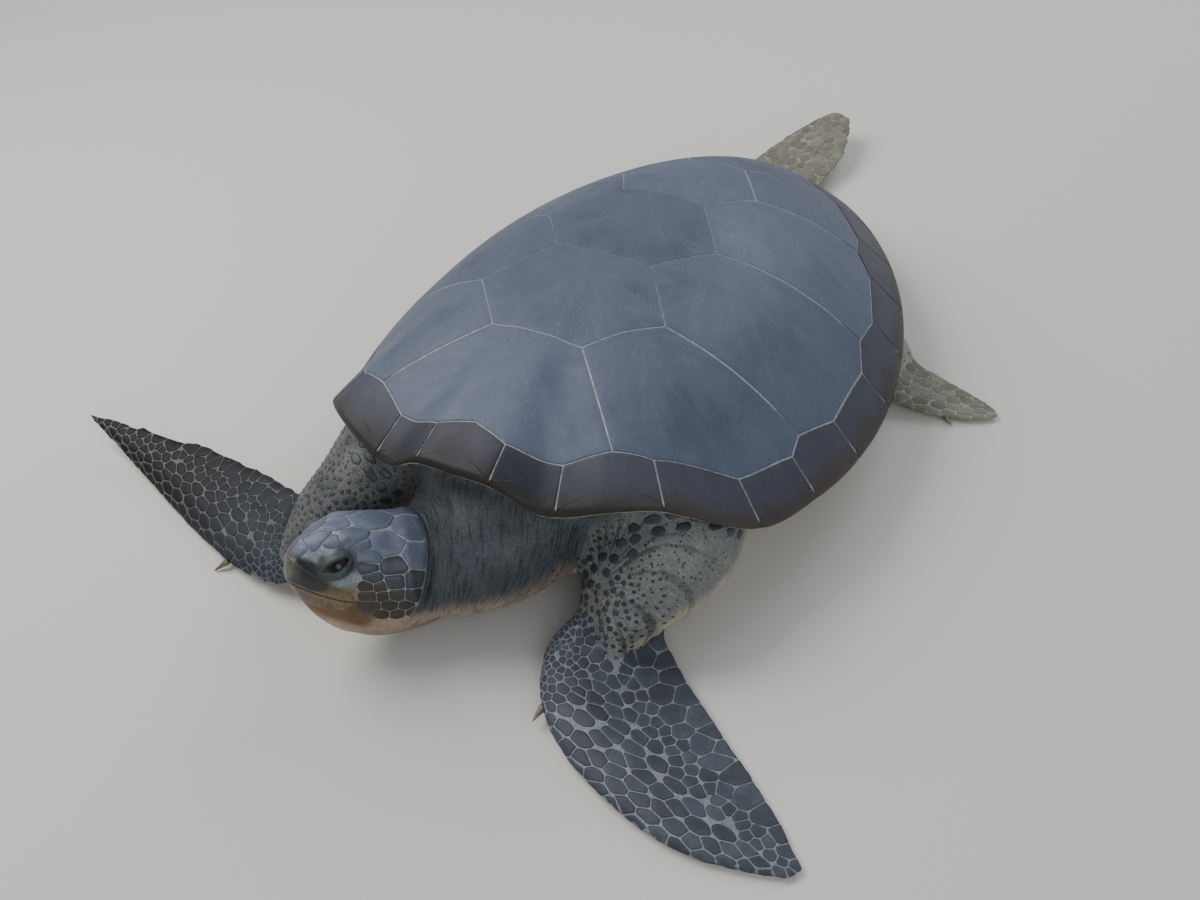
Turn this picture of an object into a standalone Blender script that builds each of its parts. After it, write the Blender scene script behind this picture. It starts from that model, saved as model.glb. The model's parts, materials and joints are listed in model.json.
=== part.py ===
"""Green sea turtle, life size, resting on its plastron as a still display model.

World frame: +Z up, head toward -Y, the turtle's left side toward +X.
The origin is on the floor, at the middle of the flat underside of the plastron.
"""
from bisect import bisect
from math import cos, hypot, pi, radians, sin

import bmesh
import bpy
from mathutils import Matrix, Vector

# Driving sizes, in metres. "Along" runs from the nuchal edge of the shell to its rear tip.
SHELL_LENGTH = 1.0
SHELL_HALF_WIDTH = 0.395
SHELL_TOP = 0.352
WIDEST_ALONG = 0.42
ORIGIN_ALONG = 0.47
FRONT_FULLNESS = 2.4
REAR_FULLNESS = 1.8
DOME_POWER = 2.6
# Height of the shell's edge against the distance along the edge from the middle of the nuchal
# scute: it arches over the neck, dips, arches over the shoulder and runs low along the side.
RIM_HEIGHTS = ((0.0, 0.280), (0.060, 0.276), (0.125, 0.243), (0.22, 0.254), (0.285, 0.243), (0.412, 0.155),
               (0.514, 0.136), (0.62, 0.119), (0.75, 0.110), (1.10, 0.102), (1.42, 0.112))
SCUTE_THICKNESS = 0.012
RIM_THICKNESS = 0.017
GAP = 0.0003
PLASTRON_THICKNESS = 0.030
HEAD_LENGTH = 0.222

SHELL_STEPS = 40
SHELL_REACHES = (0.35, 0.62, 0.82, 0.93, 1.0)
LIMB_SIDES = 12
LIMB_STEPS = 2

# Rim distances from the middle of the nuchal scute to each seam between marginal scutes.
MARGINAL_SEAMS = (0.058, 0.145, 0.285, 0.412, 0.514, 0.624, 0.745, 0.865, 0.98, 1.09, 1.20, 1.31)
MARGINAL_WIDTHS = ((0.0, 0.052), (0.30, 0.055), (0.42, 0.042), (0.62, 0.036), (0.80, 0.040), (1.10, 0.056),
                   (1.42, 0.064))
# Where the seams between vertebral and costal scutes meet the marginals, as rim distances, and
# how far the marginals peak inward there.
COSTAL_SEAMS = (0.222, 0.548, 0.800, 1.03, 1.245)
MARGINAL_PEAK = 0.012
# Corners of the vertebral scutes on the left side: (half width, along).
NUCHAL_REAR = 0.068
VERTEBRAL_JOINS = ((0.072, 0.225), (0.078, 0.405), (0.068, 0.580), (0.050, 0.745))
VERTEBRAL_CORNERS = ((0.150, 0.312), (0.140, 0.482), (0.115, 0.655))
SUPRACAUDAL_FRONT = 0.935

SLATE = (0.085, 0.105, 0.125)
OLIVE_SLATE = (0.105, 0.105, 0.085)
SKIN = (0.16, 0.18, 0.16)
FLIPPER = (0.06, 0.07, 0.08)
CREAM = (0.72, 0.66, 0.48)
HORN = (0.45, 0.36, 0.20)
EYE = (0.010, 0.009, 0.008)


def clear_scene():
    for item in list(bpy.data.objects):
        bpy.data.objects.remove(item, do_unlink=True)


def new_collection(name):
    collection = bpy.data.collections.new(name)
    bpy.context.scene.collection.children.link(collection)
    return collection


def new_material(name, colour, roughness):
    material = bpy.data.materials.new(name)
    material.use_nodes = True
    shader = material.node_tree.nodes["Principled BSDF"]
    shader.inputs["Base Color"].default_value = (*colour, 1.0)
    shader.inputs["Roughness"].default_value = roughness
    shader.inputs["Metallic"].default_value = 0.0
    material.diffuse_color = (*colour, 1.0)
    return material


def add_object(name, mesh, collection, colour=None, roughness=0.6):
    item = bpy.data.objects.new(name, mesh)
    collection.objects.link(item)
    if colour is None:
        item.hide_render = True
        item.display_type = "WIRE"
    else:
        mesh.materials.append(new_material(name, colour, roughness))
    return item


def mesh_from_bmesh(shape, name):
    bmesh.ops.recalc_face_normals(shape, faces=shape.faces)
    if shape.calc_volume(signed=True) < 0:
        bmesh.ops.reverse_faces(shape, faces=shape.faces)
    mesh = bpy.data.meshes.new(name)
    shape.to_mesh(mesh)
    shape.free()
    return mesh


def loft(name, rings):
    """Join rings of equal length into one closed mesh with capped ends."""
    shape = bmesh.new()
    rows = [[shape.verts.new(point) for point in ring] for ring in rings]
    count = len(rows[0])
    for near, far in zip(rows, rows[1:]):
        for i in range(count):
            j = (i + 1) % count
            shape.faces.new((near[i], near[j], far[j], far[i]))
    for row in (rows[0], rows[-1]):
        middle = shape.verts.new(sum((v.co for v in row), Vector()) / count)
        for i in range(count):
            shape.faces.new((row[i], row[(i + 1) % count], middle))
    bmesh.ops.remove_doubles(shape, verts=shape.verts, dist=1e-6)
    bmesh.ops.triangulate(shape, faces=shape.faces)
    return mesh_from_bmesh(shape, name)


def smooth_rows(rows, steps):
    """Pass a smooth curve through rows of numbers, with extra rows between them."""
    result = []
    last = len(rows) - 1
    for i in range(last):
        before, start, end, after = rows[max(i - 1, 0)], rows[i], rows[i + 1], rows[min(i + 2, last)]
        for step in range(steps):
            t = step / steps
            row = []
            for a, b, c, d in zip(before, start, end, after):
                bend = (2 * a - 5 * b + 4 * c - d) * t * t + (3 * b - a - 3 * c + d) * t ** 3
                row.append(0.5 * (2 * b + (c - a) * t + bend))
            result.append(row)
    result.append(list(rows[last]))
    return result


def slope_at(table, i):
    """Slope of the smooth curve through a table of pairs; the curve is level at both ends."""
    if i in (0, len(table) - 1):
        return 0.0
    return (table[i + 1][1] - table[i - 1][1]) / (table[i + 1][0] - table[i - 1][0])


def between(table, value):
    """Read a smooth height from pairs of (place, height)."""
    i = min(max(bisect([place for place, _ in table], value) - 1, 0), len(table) - 2)
    (x0, y0), (x1, y1) = table[i], table[i + 1]
    run = x1 - x0
    t = min(max((value - x0) / run, 0.0), 1.0)
    rise = y0 + (y1 - y0) * t * t * (3 - 2 * t)
    start, end = slope_at(table, i) * run, slope_at(table, i + 1) * run
    return rise + start * (t ** 3 - 2 * t * t + t) + end * (t ** 3 - t * t)


def bake(item):
    """Apply an object's modifiers and keep its largest closed body."""
    bpy.context.view_layer.update()
    graph = bpy.context.evaluated_depsgraph_get()
    mesh = bpy.data.meshes.new_from_object(item.evaluated_get(graph))
    item.modifiers.clear()
    item.data = mesh
    shape = bmesh.new()
    shape.from_mesh(mesh)
    bmesh.ops.remove_doubles(shape, verts=shape.verts, dist=2e-6)
    bmesh.ops.dissolve_degenerate(shape, edges=shape.edges, dist=2e-6)
    unseen = set(shape.faces)
    bodies = []
    while unseen:
        body = set()
        edge = [unseen.pop()]
        while edge:
            face = edge.pop()
            body.add(face)
            for link in face.edges:
                for other in link.link_faces:
                    if other in unseen:
                        unseen.remove(other)
                        edge.append(other)
        bodies.append(body)
    bodies.sort(key=lambda body: sum(face.calc_area() for face in body))
    for body in bodies[:-1]:
        bmesh.ops.delete(shape, geom=list(body), context="FACES")
    loose = [v for v in shape.verts if not v.link_faces]
    bmesh.ops.delete(shape, geom=loose, context="VERTS")
    bmesh.ops.triangulate(shape, faces=shape.faces)
    shape.to_mesh(mesh)
    shape.free()


def cut(item, cutter, operation="DIFFERENCE"):
    modifier = item.modifiers.new(operation.title(), "BOOLEAN")
    modifier.operation = operation
    modifier.solver = "EXACT"
    modifier.object = cutter


def grown(item, collection, gap=GAP):
    """A copy of a finished piece, swollen by the gap, to cut its neighbours with."""
    shape = bmesh.new()
    shape.from_mesh(item.data)
    shape.normal_update()
    offsets = [(v, v.co + v.normal * gap * 1.3) for v in shape.verts]
    for vertex, place in offsets:
        vertex.co = place
    return add_object(item.name + "_clearance", mesh_from_bmesh(shape, item.name + "_clearance"), collection)


# Shell -----------------------------------------------------------------------------------

def rim_plan(angle):
    """Plan position (x, along) of the shell's edge; 0 is the front and pi the rear."""
    fullness = FRONT_FULLNESS if abs(angle) <= pi / 2 else REAR_FULLNESS
    reach = WIDEST_ALONG if abs(angle) <= pi / 2 else SHELL_LENGTH - WIDEST_ALONG
    side = -1.0 if angle < 0 else 1.0
    ahead = -1.0 if abs(angle) <= pi / 2 else 1.0
    x = side * SHELL_HALF_WIDTH * abs(sin(angle)) ** (2 / fullness)
    along = WIDEST_ALONG + ahead * reach * abs(cos(angle)) ** (2 / fullness)
    return x, along


def rim_table(turns=1440):
    """Angles from 0 to pi with the distance along the edge at each."""
    angles = [pi * i / turns for i in range(turns + 1)]
    lengths = [0.0]
    for a, b in zip(angles, angles[1:]):
        (x0, y0), (x1, y1) = rim_plan(a), rim_plan(b)
        lengths.append(lengths[-1] + hypot(x1 - x0, y1 - y0))
    return angles, lengths


RIM_ANGLES, RIM_DISTANCES = rim_table()


def rim_angle(distance):
    """The angle on the left side at a distance along the edge from the nuchal scute."""
    i = min(max(bisect(RIM_DISTANCES, distance), 1), len(RIM_DISTANCES) - 1)
    start, end = RIM_DISTANCES[i - 1], RIM_DISTANCES[i]
    t = (distance - start) / (end - start)
    return RIM_ANGLES[i - 1] + (RIM_ANGLES[i] - RIM_ANGLES[i - 1]) * t


def rim_distance(angle):
    place = abs(angle) / pi * (len(RIM_ANGLES) - 1)
    i = min(int(place), len(RIM_ANGLES) - 2)
    return RIM_DISTANCES[i] + (RIM_DISTANCES[i + 1] - RIM_DISTANCES[i]) * (place - i)


def shell_point(angle, reach, drop=0.0, spread=0.0):
    """A point of the dome: reach is 0 at the crown and 1 at the edge."""
    x, along = rim_plan(angle)
    rim = between(RIM_HEIGHTS, rim_distance(angle))
    scale = reach * (1 + spread)
    z = SHELL_TOP - (SHELL_TOP - rim) * reach ** DOME_POWER - drop
    return Vector((x * scale, WIDEST_ALONG + (along - WIDEST_ALONG) * scale - ORIGIN_ALONG, z))


def shell_angles():
    """Angles round the shell, even along its edge."""
    whole = 2 * RIM_DISTANCES[-1]
    angles = []
    for i in range(SHELL_STEPS):
        distance = whole * (i / SHELL_STEPS - 0.5)
        side = -1.0 if distance < 0 else 1.0
        angles.append(side * rim_angle(abs(distance)))
    return angles


def shell_solid(name, over=0.0, under=0.0, spread=0.0):
    """The whole carapace as one closed shell, optionally swollen for use as a cutter."""
    angles = shell_angles()
    top = [[shell_point(a, reach, -over, spread) for a in angles] for reach in SHELL_REACHES]
    bottom = []
    for reach in reversed(SHELL_REACHES):
        thick = SCUTE_THICKNESS + (RIM_THICKNESS - SCUTE_THICKNESS) * reach ** 4
        inset = 0.988 if reach == 1.0 else 1.0
        bottom.append([shell_point(a, reach * inset, thick + under, spread) for a in angles])
    return loft(name, top + bottom)


def inner_seam(distance, peak=0.0):
    """Plan point where a marginal scute ends and the costal scutes begin."""
    angle = rim_angle(distance)
    x, along = rim_plan(angle)
    x0, along0 = rim_plan(angle - 0.01)
    x1, along1 = rim_plan(angle + 0.01)
    run = hypot(x1 - x0, along1 - along0)
    width = between(MARGINAL_WIDTHS, distance) + peak
    return x - (along1 - along0) / run * width, along + (x1 - x0) / run * width


def outer_seam(distance, margin=0.12):
    """Plan point beyond the shell's edge, square to it."""
    angle = rim_angle(distance)
    x, along = rim_plan(angle)
    x0, along0 = inner_seam(distance)
    run = hypot(x - x0, along - along0)
    return x + (x - x0) / run * margin, along + (along - along0) / run * margin


def mirrored(points):
    return [(-x, along) for x, along in reversed(points)]


def costal_outlines():
    """Outlines of the four left costal scutes, front to rear."""
    seams = [inner_seam(d) for d in MARGINAL_SEAMS]
    meets = [inner_seam(d, MARGINAL_PEAK) for d in COSTAL_SEAMS]
    inner = [VERTEBRAL_JOINS[0], *VERTEBRAL_CORNERS, VERTEBRAL_JOINS[3]]
    outlines = []
    for i in range(4):
        edge = [s for d, s in zip(MARGINAL_SEAMS, seams) if COSTAL_SEAMS[i] < d < COSTAL_SEAMS[i + 1]]
        outline = [meets[i], *edge, meets[i + 1]]
        if i == 0:
            outline += [VERTEBRAL_CORNERS[0], VERTEBRAL_JOINS[0]]
        elif i == 3:
            outline += [VERTEBRAL_JOINS[3], VERTEBRAL_CORNERS[2]]
        else:
            outline += [inner[i + 1], VERTEBRAL_JOINS[i], inner[i]]
        outlines.append(outline)
    return outlines


def vertebral_outlines():
    """Outlines of the five vertebral scutes, front to rear."""
    seams = [inner_seam(d) for d in MARGINAL_SEAMS]
    meets = [inner_seam(d, MARGINAL_PEAK) for d in COSTAL_SEAMS]
    halves = [[seams[0], seams[1], meets[0], VERTEBRAL_JOINS[0]]]
    for i in range(3):
        halves.append([VERTEBRAL_JOINS[i], VERTEBRAL_CORNERS[i], VERTEBRAL_JOINS[i + 1]])
    halves.append([VERTEBRAL_JOINS[3], meets[4], seams[11]])
    outlines = [half + mirrored(half) for half in halves]
    outlines[0].append((0.0, NUCHAL_REAR))
    outlines[4].insert(3, (0.0, SUPRACAUDAL_FRONT))
    return outlines


def marginal_outlines():
    """Outlines of the eleven left marginal scutes, front to rear."""
    outlines = []
    for start, end in zip(MARGINAL_SEAMS, MARGINAL_SEAMS[1:]):
        meets = [inner_seam(d, MARGINAL_PEAK) for d in COSTAL_SEAMS if start < d < end]
        outside = [outer_seam(d) for d in (end, (start + end) / 2, start)]
        outlines.append([inner_seam(start), *meets, inner_seam(end), *outside])
    return outlines


def end_outlines():
    """Outlines of the nuchal scute and the left supracaudal scute."""
    front = [inner_seam(MARGINAL_SEAMS[0]), outer_seam(MARGINAL_SEAMS[0])]
    nuchal = front + mirrored(front) + [(0.0, NUCHAL_REAR)]
    last = MARGINAL_SEAMS[-1]
    supracaudal = [(0.0, SUPRACAUDAL_FRONT), inner_seam(last), outer_seam(last), (0.0, SHELL_LENGTH + 0.12)]
    return nuchal, supracaudal


def inset(outline, distance):
    """Move every side of a plan outline inward by a distance."""
    area = sum(x0 * y1 - x1 * y0 for (x0, y0), (x1, y1) in zip(outline, outline[1:] + outline[:1]))
    points = outline if area > 0 else outline[::-1]
    count = len(points)
    result = []
    for i in range(count):
        before, here, after = (Vector(points[(i + k) % count]) for k in (-1, 0, 1))
        first, second = (here - before).normalized(), (after - here).normalized()
        normal = (Vector((-first.y, first.x)) + Vector((-second.y, second.x))).normalized()
        lean = max(normal.dot(Vector((-first.y, first.x))), 0.3)
        result.append(here + normal * (distance / lean))
    return result


def add_scute(name, outline, shell, parts, cutters, colour):
    rings = []
    for z in (0.0, SHELL_TOP + 0.1):
        rings.append([Vector((x, along - ORIGIN_ALONG, z)) for x, along in inset(outline, GAP / 2)])
    prism = add_object(name + "_outline", loft(name + "_outline", rings), cutters)
    scute = add_object(name, shell.copy(), parts, colour, 0.45)
    cut(scute, prism, "INTERSECT")
    bake(scute)


def add_shell(parts, cutters):
    shell = shell_solid("carapace")
    nuchal, supracaudal = end_outlines()
    add_scute("nuchal", nuchal, shell, parts, cutters, OLIVE_SLATE)
    for number, outline in enumerate(vertebral_outlines(), 1):
        add_scute(f"vertebral_{number}", outline, shell, parts, cutters, SLATE)
    for side, turn in (("left", list), ("right", mirrored)):
        for number, outline in enumerate(costal_outlines(), 1):
            add_scute(f"costal_{side}_{number}", turn(outline), shell, parts, cutters, SLATE)
        for number, outline in enumerate(marginal_outlines(), 1):
            add_scute(f"marginal_{side}_{number}", turn(outline), shell, parts, cutters, OLIVE_SLATE)
        add_scute(f"supracaudal_{side}", turn(supracaudal), shell, parts, cutters, OLIVE_SLATE)
    over = 0.05
    spread = 0.001
    return add_object("carapace_clearance", shell_solid("carapace_clearance", over, GAP, spread), cutters)


# Body ------------------------------------------------------------------------------------

TRUNK_RINGS = ((0.945, 0.060), (0.90, 0.22), (0.81, 0.66))
PLASTRON_EDGE = 0.735
PLASTRON_RINGS = ((0.735, 1.0), (0.70, 0.45), (0.64, 0.10), (0.60, 0.0))


def trunk_rings():
    """Rings of the trunk, from the crown under the shell down to the top of the plastron."""
    angles = shell_angles()
    rings = []
    under = SCUTE_THICKNESS + 2 * GAP
    for reach in SHELL_REACHES[:-1]:
        thick = under + (RIM_THICKNESS - SCUTE_THICKNESS) * reach ** 4
        rings.append([shell_point(a, reach, thick) for a in angles])
    floor = PLASTRON_THICKNESS + GAP
    for reach, fall in TRUNK_RINGS:
        ring = []
        for a in angles:
            point = shell_point(a, reach, under + RIM_THICKNESS - SCUTE_THICKNESS)
            point.z += (floor - point.z) * fall
            ring.append(point)
        rings.append(ring)
    rings.append([flat_point(a, PLASTRON_EDGE, floor) for a in angles])
    return rings


def flat_point(angle, reach, z):
    point = shell_point(angle, reach)
    return Vector((point.x, point.y, z))


def add_plastron(parts):
    angles = shell_angles()
    rings = [[flat_point(a, reach, PLASTRON_THICKNESS * level) for a in angles[::2]]
             for reach, level in PLASTRON_RINGS]
    return add_object("plastron", loft("plastron", rings), parts, CREAM, 0.5)


def lengthened(rows, distance):
    """Push the first and last rings outward along the limb."""
    for near, far in ((rows[0], rows[1]), (rows[-1], rows[-2])):
        start = sum(near, Vector()) / len(near)
        step = (start - sum(far, Vector()) / len(far)).normalized() * distance
        for point in near:
            point += step
    return rows


def limb_rings(stations, gap=0.0):
    """Rings of a rounded limb, swollen by the gap where it is used to cut its neighbours.

    Each station is its centre (x, y, z), the direction of its width (degrees in plan),
    its half width, its half height and how far its section leans back from upright (degrees).
    """
    rings = []
    for x, y, z, turn, width, height, lean in smooth_rows(stations, LIMB_STEPS):
        across = Vector((cos(radians(turn)), sin(radians(turn)), 0.0))
        ahead = Vector((-across.y, across.x, 0.0))
        upward = Vector((0, 0, 1)) * cos(radians(lean)) + ahead * sin(radians(lean))
        ring = []
        for i in range(LIMB_SIDES):
            a = 2 * pi * i / LIMB_SIDES
            point = Vector((x, y, z)) + across * ((width + gap) * cos(a)) + upward * ((height + gap) * sin(a))
            point.z = max(point.z, -gap)
            ring.append(point)
        rings.append(ring)
    return lengthened(rings, gap)


def blade_rings(stations, gap=0.0):
    """Rings of a flipper blade, swollen by the gap where it is used to cut its neighbours.

    Each station is the leading edge (x, y, z), the trailing edge (x, y, z) and the thickness.
    The section is thick and round in front, and thins toward the trailing edge.
    """
    rings = []
    profile = ((0.0, 0.0), (0.04, 0.42), (0.15, 0.84), (0.32, 1.0), (0.55, 0.76), (0.80, 0.46), (1.0, 0.24))
    for row in smooth_rows(stations, LIMB_STEPS):
        lead, trail, thick = Vector(row[:3]), Vector(row[3:6]), row[6] + 2 * gap
        chord = (trail - lead).normalized() * gap
        lead, trail = lead - chord, trail + chord
        ring = [lead.lerp(trail, t) + Vector((0, 0, thick * h / 2)) for t, h in profile]
        ring += [lead.lerp(trail, t) - Vector((0, 0, thick * h / 2)) for t, h in reversed(profile[1:])]
        for point in ring:
            point.z = max(point.z, -gap)
        rings.append(ring)
    return lengthened(rings, gap)


# Stations of the flippers. The right front flipper is stretched out sideways and the left one
# reaches forward; the left hind flipper is held out sideways and the right one trails behind.
LEFT_ARM = (
    (0.205, -0.225, 0.120, -18, 0.120, 0.070, 0),
    (0.222, -0.320, 0.130, -20, 0.128, 0.085, 0),
    (0.214, -0.395, 0.120, -24, 0.106, 0.084, 8),
    (0.198, -0.440, 0.090, -27, 0.076, 0.062, 14),
    (0.188, -0.474, 0.058, -28, 0.056, 0.038, 14),
)
LEFT_BLADE = (
    (0.138, -0.462, 0.050, 0.262, -0.418, 0.048, 0.050),
    (0.122, -0.515, 0.030, 0.286, -0.440, 0.024, 0.044),
    (0.165, -0.595, 0.019, 0.332, -0.474, 0.014, 0.037),
    (0.250, -0.654, 0.016, 0.392, -0.514, 0.012, 0.031),
    (0.352, -0.692, 0.013, 0.460, -0.558, 0.010, 0.025),
    (0.458, -0.702, 0.010, 0.526, -0.608, 0.008, 0.019),
    (0.560, -0.676, 0.008, 0.576, -0.652, 0.007, 0.014),
)
RIGHT_ARM = (
    (-0.190, -0.235, 0.125, -12, 0.100, 0.070, 0),
    (-0.218, -0.325, 0.130, -18, 0.100, 0.076, 0),
    (-0.242, -0.395, 0.118, -32, 0.090, 0.070, 0),
    (-0.275, -0.450, 0.090, -50, 0.078, 0.054, 0),
    (-0.325, -0.485, 0.060, -68, 0.070, 0.036, 0),
)
RIGHT_BLADE = (
    (-0.255, -0.562, 0.040, -0.285, -0.425, 0.070, 0.048),
    (-0.315, -0.575, 0.024, -0.345, -0.425, 0.060, 0.042),
    (-0.410, -0.560, 0.011, -0.440, -0.405, 0.052, 0.036),
    (-0.545, -0.515, 0.005, -0.580, -0.390, 0.046, 0.030),
    (-0.680, -0.465, 0.010, -0.700, -0.395, 0.046, 0.024),
    (-0.775, -0.435, 0.030, -0.785, -0.400, 0.050, 0.017),
    (-0.838, -0.415, 0.045, -0.842, -0.408, 0.050, 0.012),
)
LEFT_THIGH = (
    (0.170, 0.205, 0.100, 70, 0.080, 0.055, 0),
    (0.235, 0.215, 0.085, 75, 0.078, 0.052, 0),
    (0.300, 0.210, 0.052, 82, 0.062, 0.036, 0),
    (0.345, 0.200, 0.034, 86, 0.055, 0.025, 0),
)
LEFT_HIND = (
    (0.318, 0.138, 0.026, 0.312, 0.250, 0.030, 0.036),
    (0.375, 0.134, 0.017, 0.368, 0.240, 0.016, 0.026),
    (0.435, 0.140, 0.008, 0.430, 0.226, 0.008, 0.018),
    (0.485, 0.156, 0.008, 0.480, 0.208, 0.007, 0.013),
    (0.508, 0.174, 0.007, 0.506, 0.190, 0.007, 0.012),
)
RIGHT_THIGH = (
    (-0.165, 0.200, 0.100, 10, 0.080, 0.055, 0),
    (-0.165, 0.300, 0.080, 8, 0.076, 0.050, 0),
    (-0.150, 0.400, 0.050, 2, 0.062, 0.034, 0),
    (-0.135, 0.465, 0.036, -4, 0.056, 0.026, 0),
)
RIGHT_HIND = (
    (-0.196, 0.440, 0.026, -0.070, 0.432, 0.030, 0.038),
    (-0.190, 0.550, 0.012, -0.028, 0.540, 0.015, 0.028),
    (-0.166, 0.665, 0.024, 0.006, 0.650, 0.026, 0.020),
    (-0.118, 0.785, 0.042, 0.010, 0.770, 0.044, 0.015),
    (-0.068, 0.850, 0.056, -0.020, 0.845, 0.057, 0.013),
)
TAIL = (
    (0.000, 0.330, 0.075, 0, 0.070, 0.045, 0),
    (0.004, 0.420, 0.062, 0, 0.050, 0.034, 0),
    (0.008, 0.490, 0.048, 0, 0.032, 0.024, 0),
    (0.012, 0.545, 0.038, 0, 0.014, 0.011, 0),
)
NECK = (
    (0.000, -0.290, 0.125, 0, 0.150, 0.085, 0),
    (0.005, -0.385, 0.135, -4, 0.142, 0.098, 0),
    (-0.004, -0.450, 0.130, -12, 0.124, 0.094, 4),
    (-0.034, -0.498, 0.122, -24, 0.098, 0.078, 6),
    (-0.058, -0.532, 0.120, -32, 0.066, 0.062, 6),
)
FRONT_CLAW_LENGTH = 0.020
FRONT_CLAW_RADIUS = 0.006
HIND_CLAW_LENGTH = 0.014
HIND_CLAW_RADIUS = 0.0045
CLAW_SIDES = 6

# Head ------------------------------------------------------------------------------------

HEAD_BASE = Vector((-0.071, -0.502, 0.045))
HEAD_TURN = radians(-36)
HEAD_LIFT = radians(31.5)
HEAD_TILT = radians(8)
# Sections of the head: place along it, half width, top, bottom, squareness.
HEAD_SECTIONS = (
    (-0.15, 0.058, 0.093, -0.020, 2.0),
    (-0.02, 0.069, 0.109, -0.044, 2.1),
    (0.20, 0.075, 0.117, -0.063, 2.2),
    (0.38, 0.075, 0.118, -0.068, 2.2),
    (0.56, 0.067, 0.114, -0.060, 2.3),
    (0.72, 0.055, 0.105, -0.041, 2.4),
    (0.84, 0.042, 0.092, -0.019, 2.2),
    (0.93, 0.030, 0.075, -0.001, 2.0),
    (0.985, 0.018, 0.055, 0.011, 2.0),
    (1.0, 0.007, 0.038, 0.020, 2.0),
)
HEAD_SIDES = 16
# How much narrower the throat is than the cheeks.
HEAD_TAPER = 0.24
EYE_RADIUS = 0.0195
EYE_PLACE = (0.735, 0.0400, 0.060)
JAW_LENGTH = 0.55
MOUTH_HEIGHT = 0.024


def head_matrix():
    """Head frame: X to its left, Y to its back, Z up, with the base of the skull at the origin."""
    turn = Matrix.Rotation(HEAD_TURN, 4, "Z")
    lift = Matrix.Rotation(-HEAD_LIFT, 4, "X")
    tilt = Matrix.Rotation(-HEAD_TILT, 4, "Y")
    return Matrix.Translation(HEAD_BASE) @ turn @ lift @ tilt


def head_rings():
    place = head_matrix()
    rings = []
    for along, width, top, bottom, power in HEAD_SECTIONS:
        middle, half = (top + bottom) / 2, (top - bottom) / 2
        ring = []
        for i in range(HEAD_SIDES):
            a = 2 * pi * i / HEAD_SIDES
            narrowed = width * (1 - HEAD_TAPER * max(0.0, -sin(a)))
            x = abs(cos(a)) ** (2 / power) * (1 if cos(a) >= 0 else -1) * narrowed
            z = abs(sin(a)) ** (2 / power) * (1 if sin(a) >= 0 else -1) * half + middle
            ring.append(place @ Vector((x, -along * HEAD_LENGTH, z)))
        rings.append(ring)
    return rings


def box_mesh(name, low, high, place):
    shape = bmesh.new()
    bmesh.ops.create_cube(shape, size=1.0)
    size = Vector(high) - Vector(low)
    middle = (Vector(high) + Vector(low)) / 2
    for vertex in shape.verts:
        vertex.co = place @ Vector(middle[i] + vertex.co[i] * size[i] for i in range(3))
    return mesh_from_bmesh(shape, name)


def ball_mesh(name, centre, radius):
    shape = bmesh.new()
    bmesh.ops.create_uvsphere(shape, u_segments=12, v_segments=8, radius=radius)
    bmesh.ops.translate(shape, verts=shape.verts, vec=centre)
    return mesh_from_bmesh(shape, name)


def claw_mesh(name, start, direction, length, radius):
    """A small horn claw, bent slightly down."""
    side = direction.cross(Vector((0, 0, 1))).normalized()
    upward = side.cross(direction)
    rings = []
    for step in range(4):
        t = step / 3
        centre = start + direction * (length * t) - Vector((0, 0, 0.12 * length * t * t))
        size = radius * (1 - 0.86 * t)
        turns = [2 * pi * i / CLAW_SIDES for i in range(CLAW_SIDES)]
        rings.append([centre + side * (size * cos(a)) + upward * (0.8 * size * sin(a)) for a in turns])
    for ring in rings:
        for point in ring:
            point.z = max(point.z, 0.0005)
    return loft(name, rings)


def add_head(parts, cutters):
    place = head_matrix()
    eyes = []
    for side, sign in (("left", 1), ("right", -1)):
        along, across, height = EYE_PLACE
        centre = place @ Vector((sign * across, -along * HEAD_LENGTH, height))
        eye = add_object(f"eye_{side}", ball_mesh(f"eye_{side}", centre, EYE_RADIUS), parts, EYE, 0.1)
        eyes.append(grown(eye, cutters))
    jaw_end = -(1 - JAW_LENGTH) * HEAD_LENGTH
    corner = (-HEAD_LENGTH, -2 * HEAD_LENGTH, -HEAD_LENGTH)
    boxes = []
    for name, shift in (("mouth", -GAP / 2), ("mouth_room", GAP / 2)):
        far_corner = (HEAD_LENGTH, jaw_end + shift, MOUTH_HEIGHT + shift)
        boxes.append(add_object(name, box_mesh(name, corner, far_corner, place), cutters))
    mouth, room = boxes
    whole = loft("head", head_rings())
    cranium = add_object("whole_head", whole.copy(), cutters)
    jaw = add_object("lower_jaw", whole.copy(), parts, HORN, 0.5)
    cut(jaw, mouth, "INTERSECT")
    bake(jaw)
    head = add_object("head", whole, parts, SKIN, 0.55)
    for cutter in (room, *eyes):
        cut(head, cutter)
    bake(head)
    return grown(cranium, cutters)


def add_limb(name, maker, stations, parts, cutters, colour, removed):
    """Add a limb without what its neighbours take up; return the form that cuts the rest."""
    item = add_object(name, loft(name, maker(stations)), parts, colour, 0.6)
    for cutter in removed:
        cut(item, cutter)
    bake(item)
    return add_object(name + "_clearance", loft(name + "_clearance", maker(stations, GAP)), cutters)


def add_claw(name, stations, length, radius, parts, cutters):
    """The claw stands on the leading edge at the blade's third station."""
    row, ahead = stations[2], stations[3]
    lead, trail, beyond = Vector(row[:3]), Vector(row[3:6]), Vector(ahead[:3])
    outward = (lead - trail).normalized()
    along = (beyond - lead).normalized()
    direction = (outward * 0.75 + along * 0.65).normalized()
    start = lead - outward * 0.006
    start.z = max(start.z, radius)
    claw = add_object(name, claw_mesh(name, start, direction, length, radius), parts, HORN, 0.4)
    return grown(claw, cutters)


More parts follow.
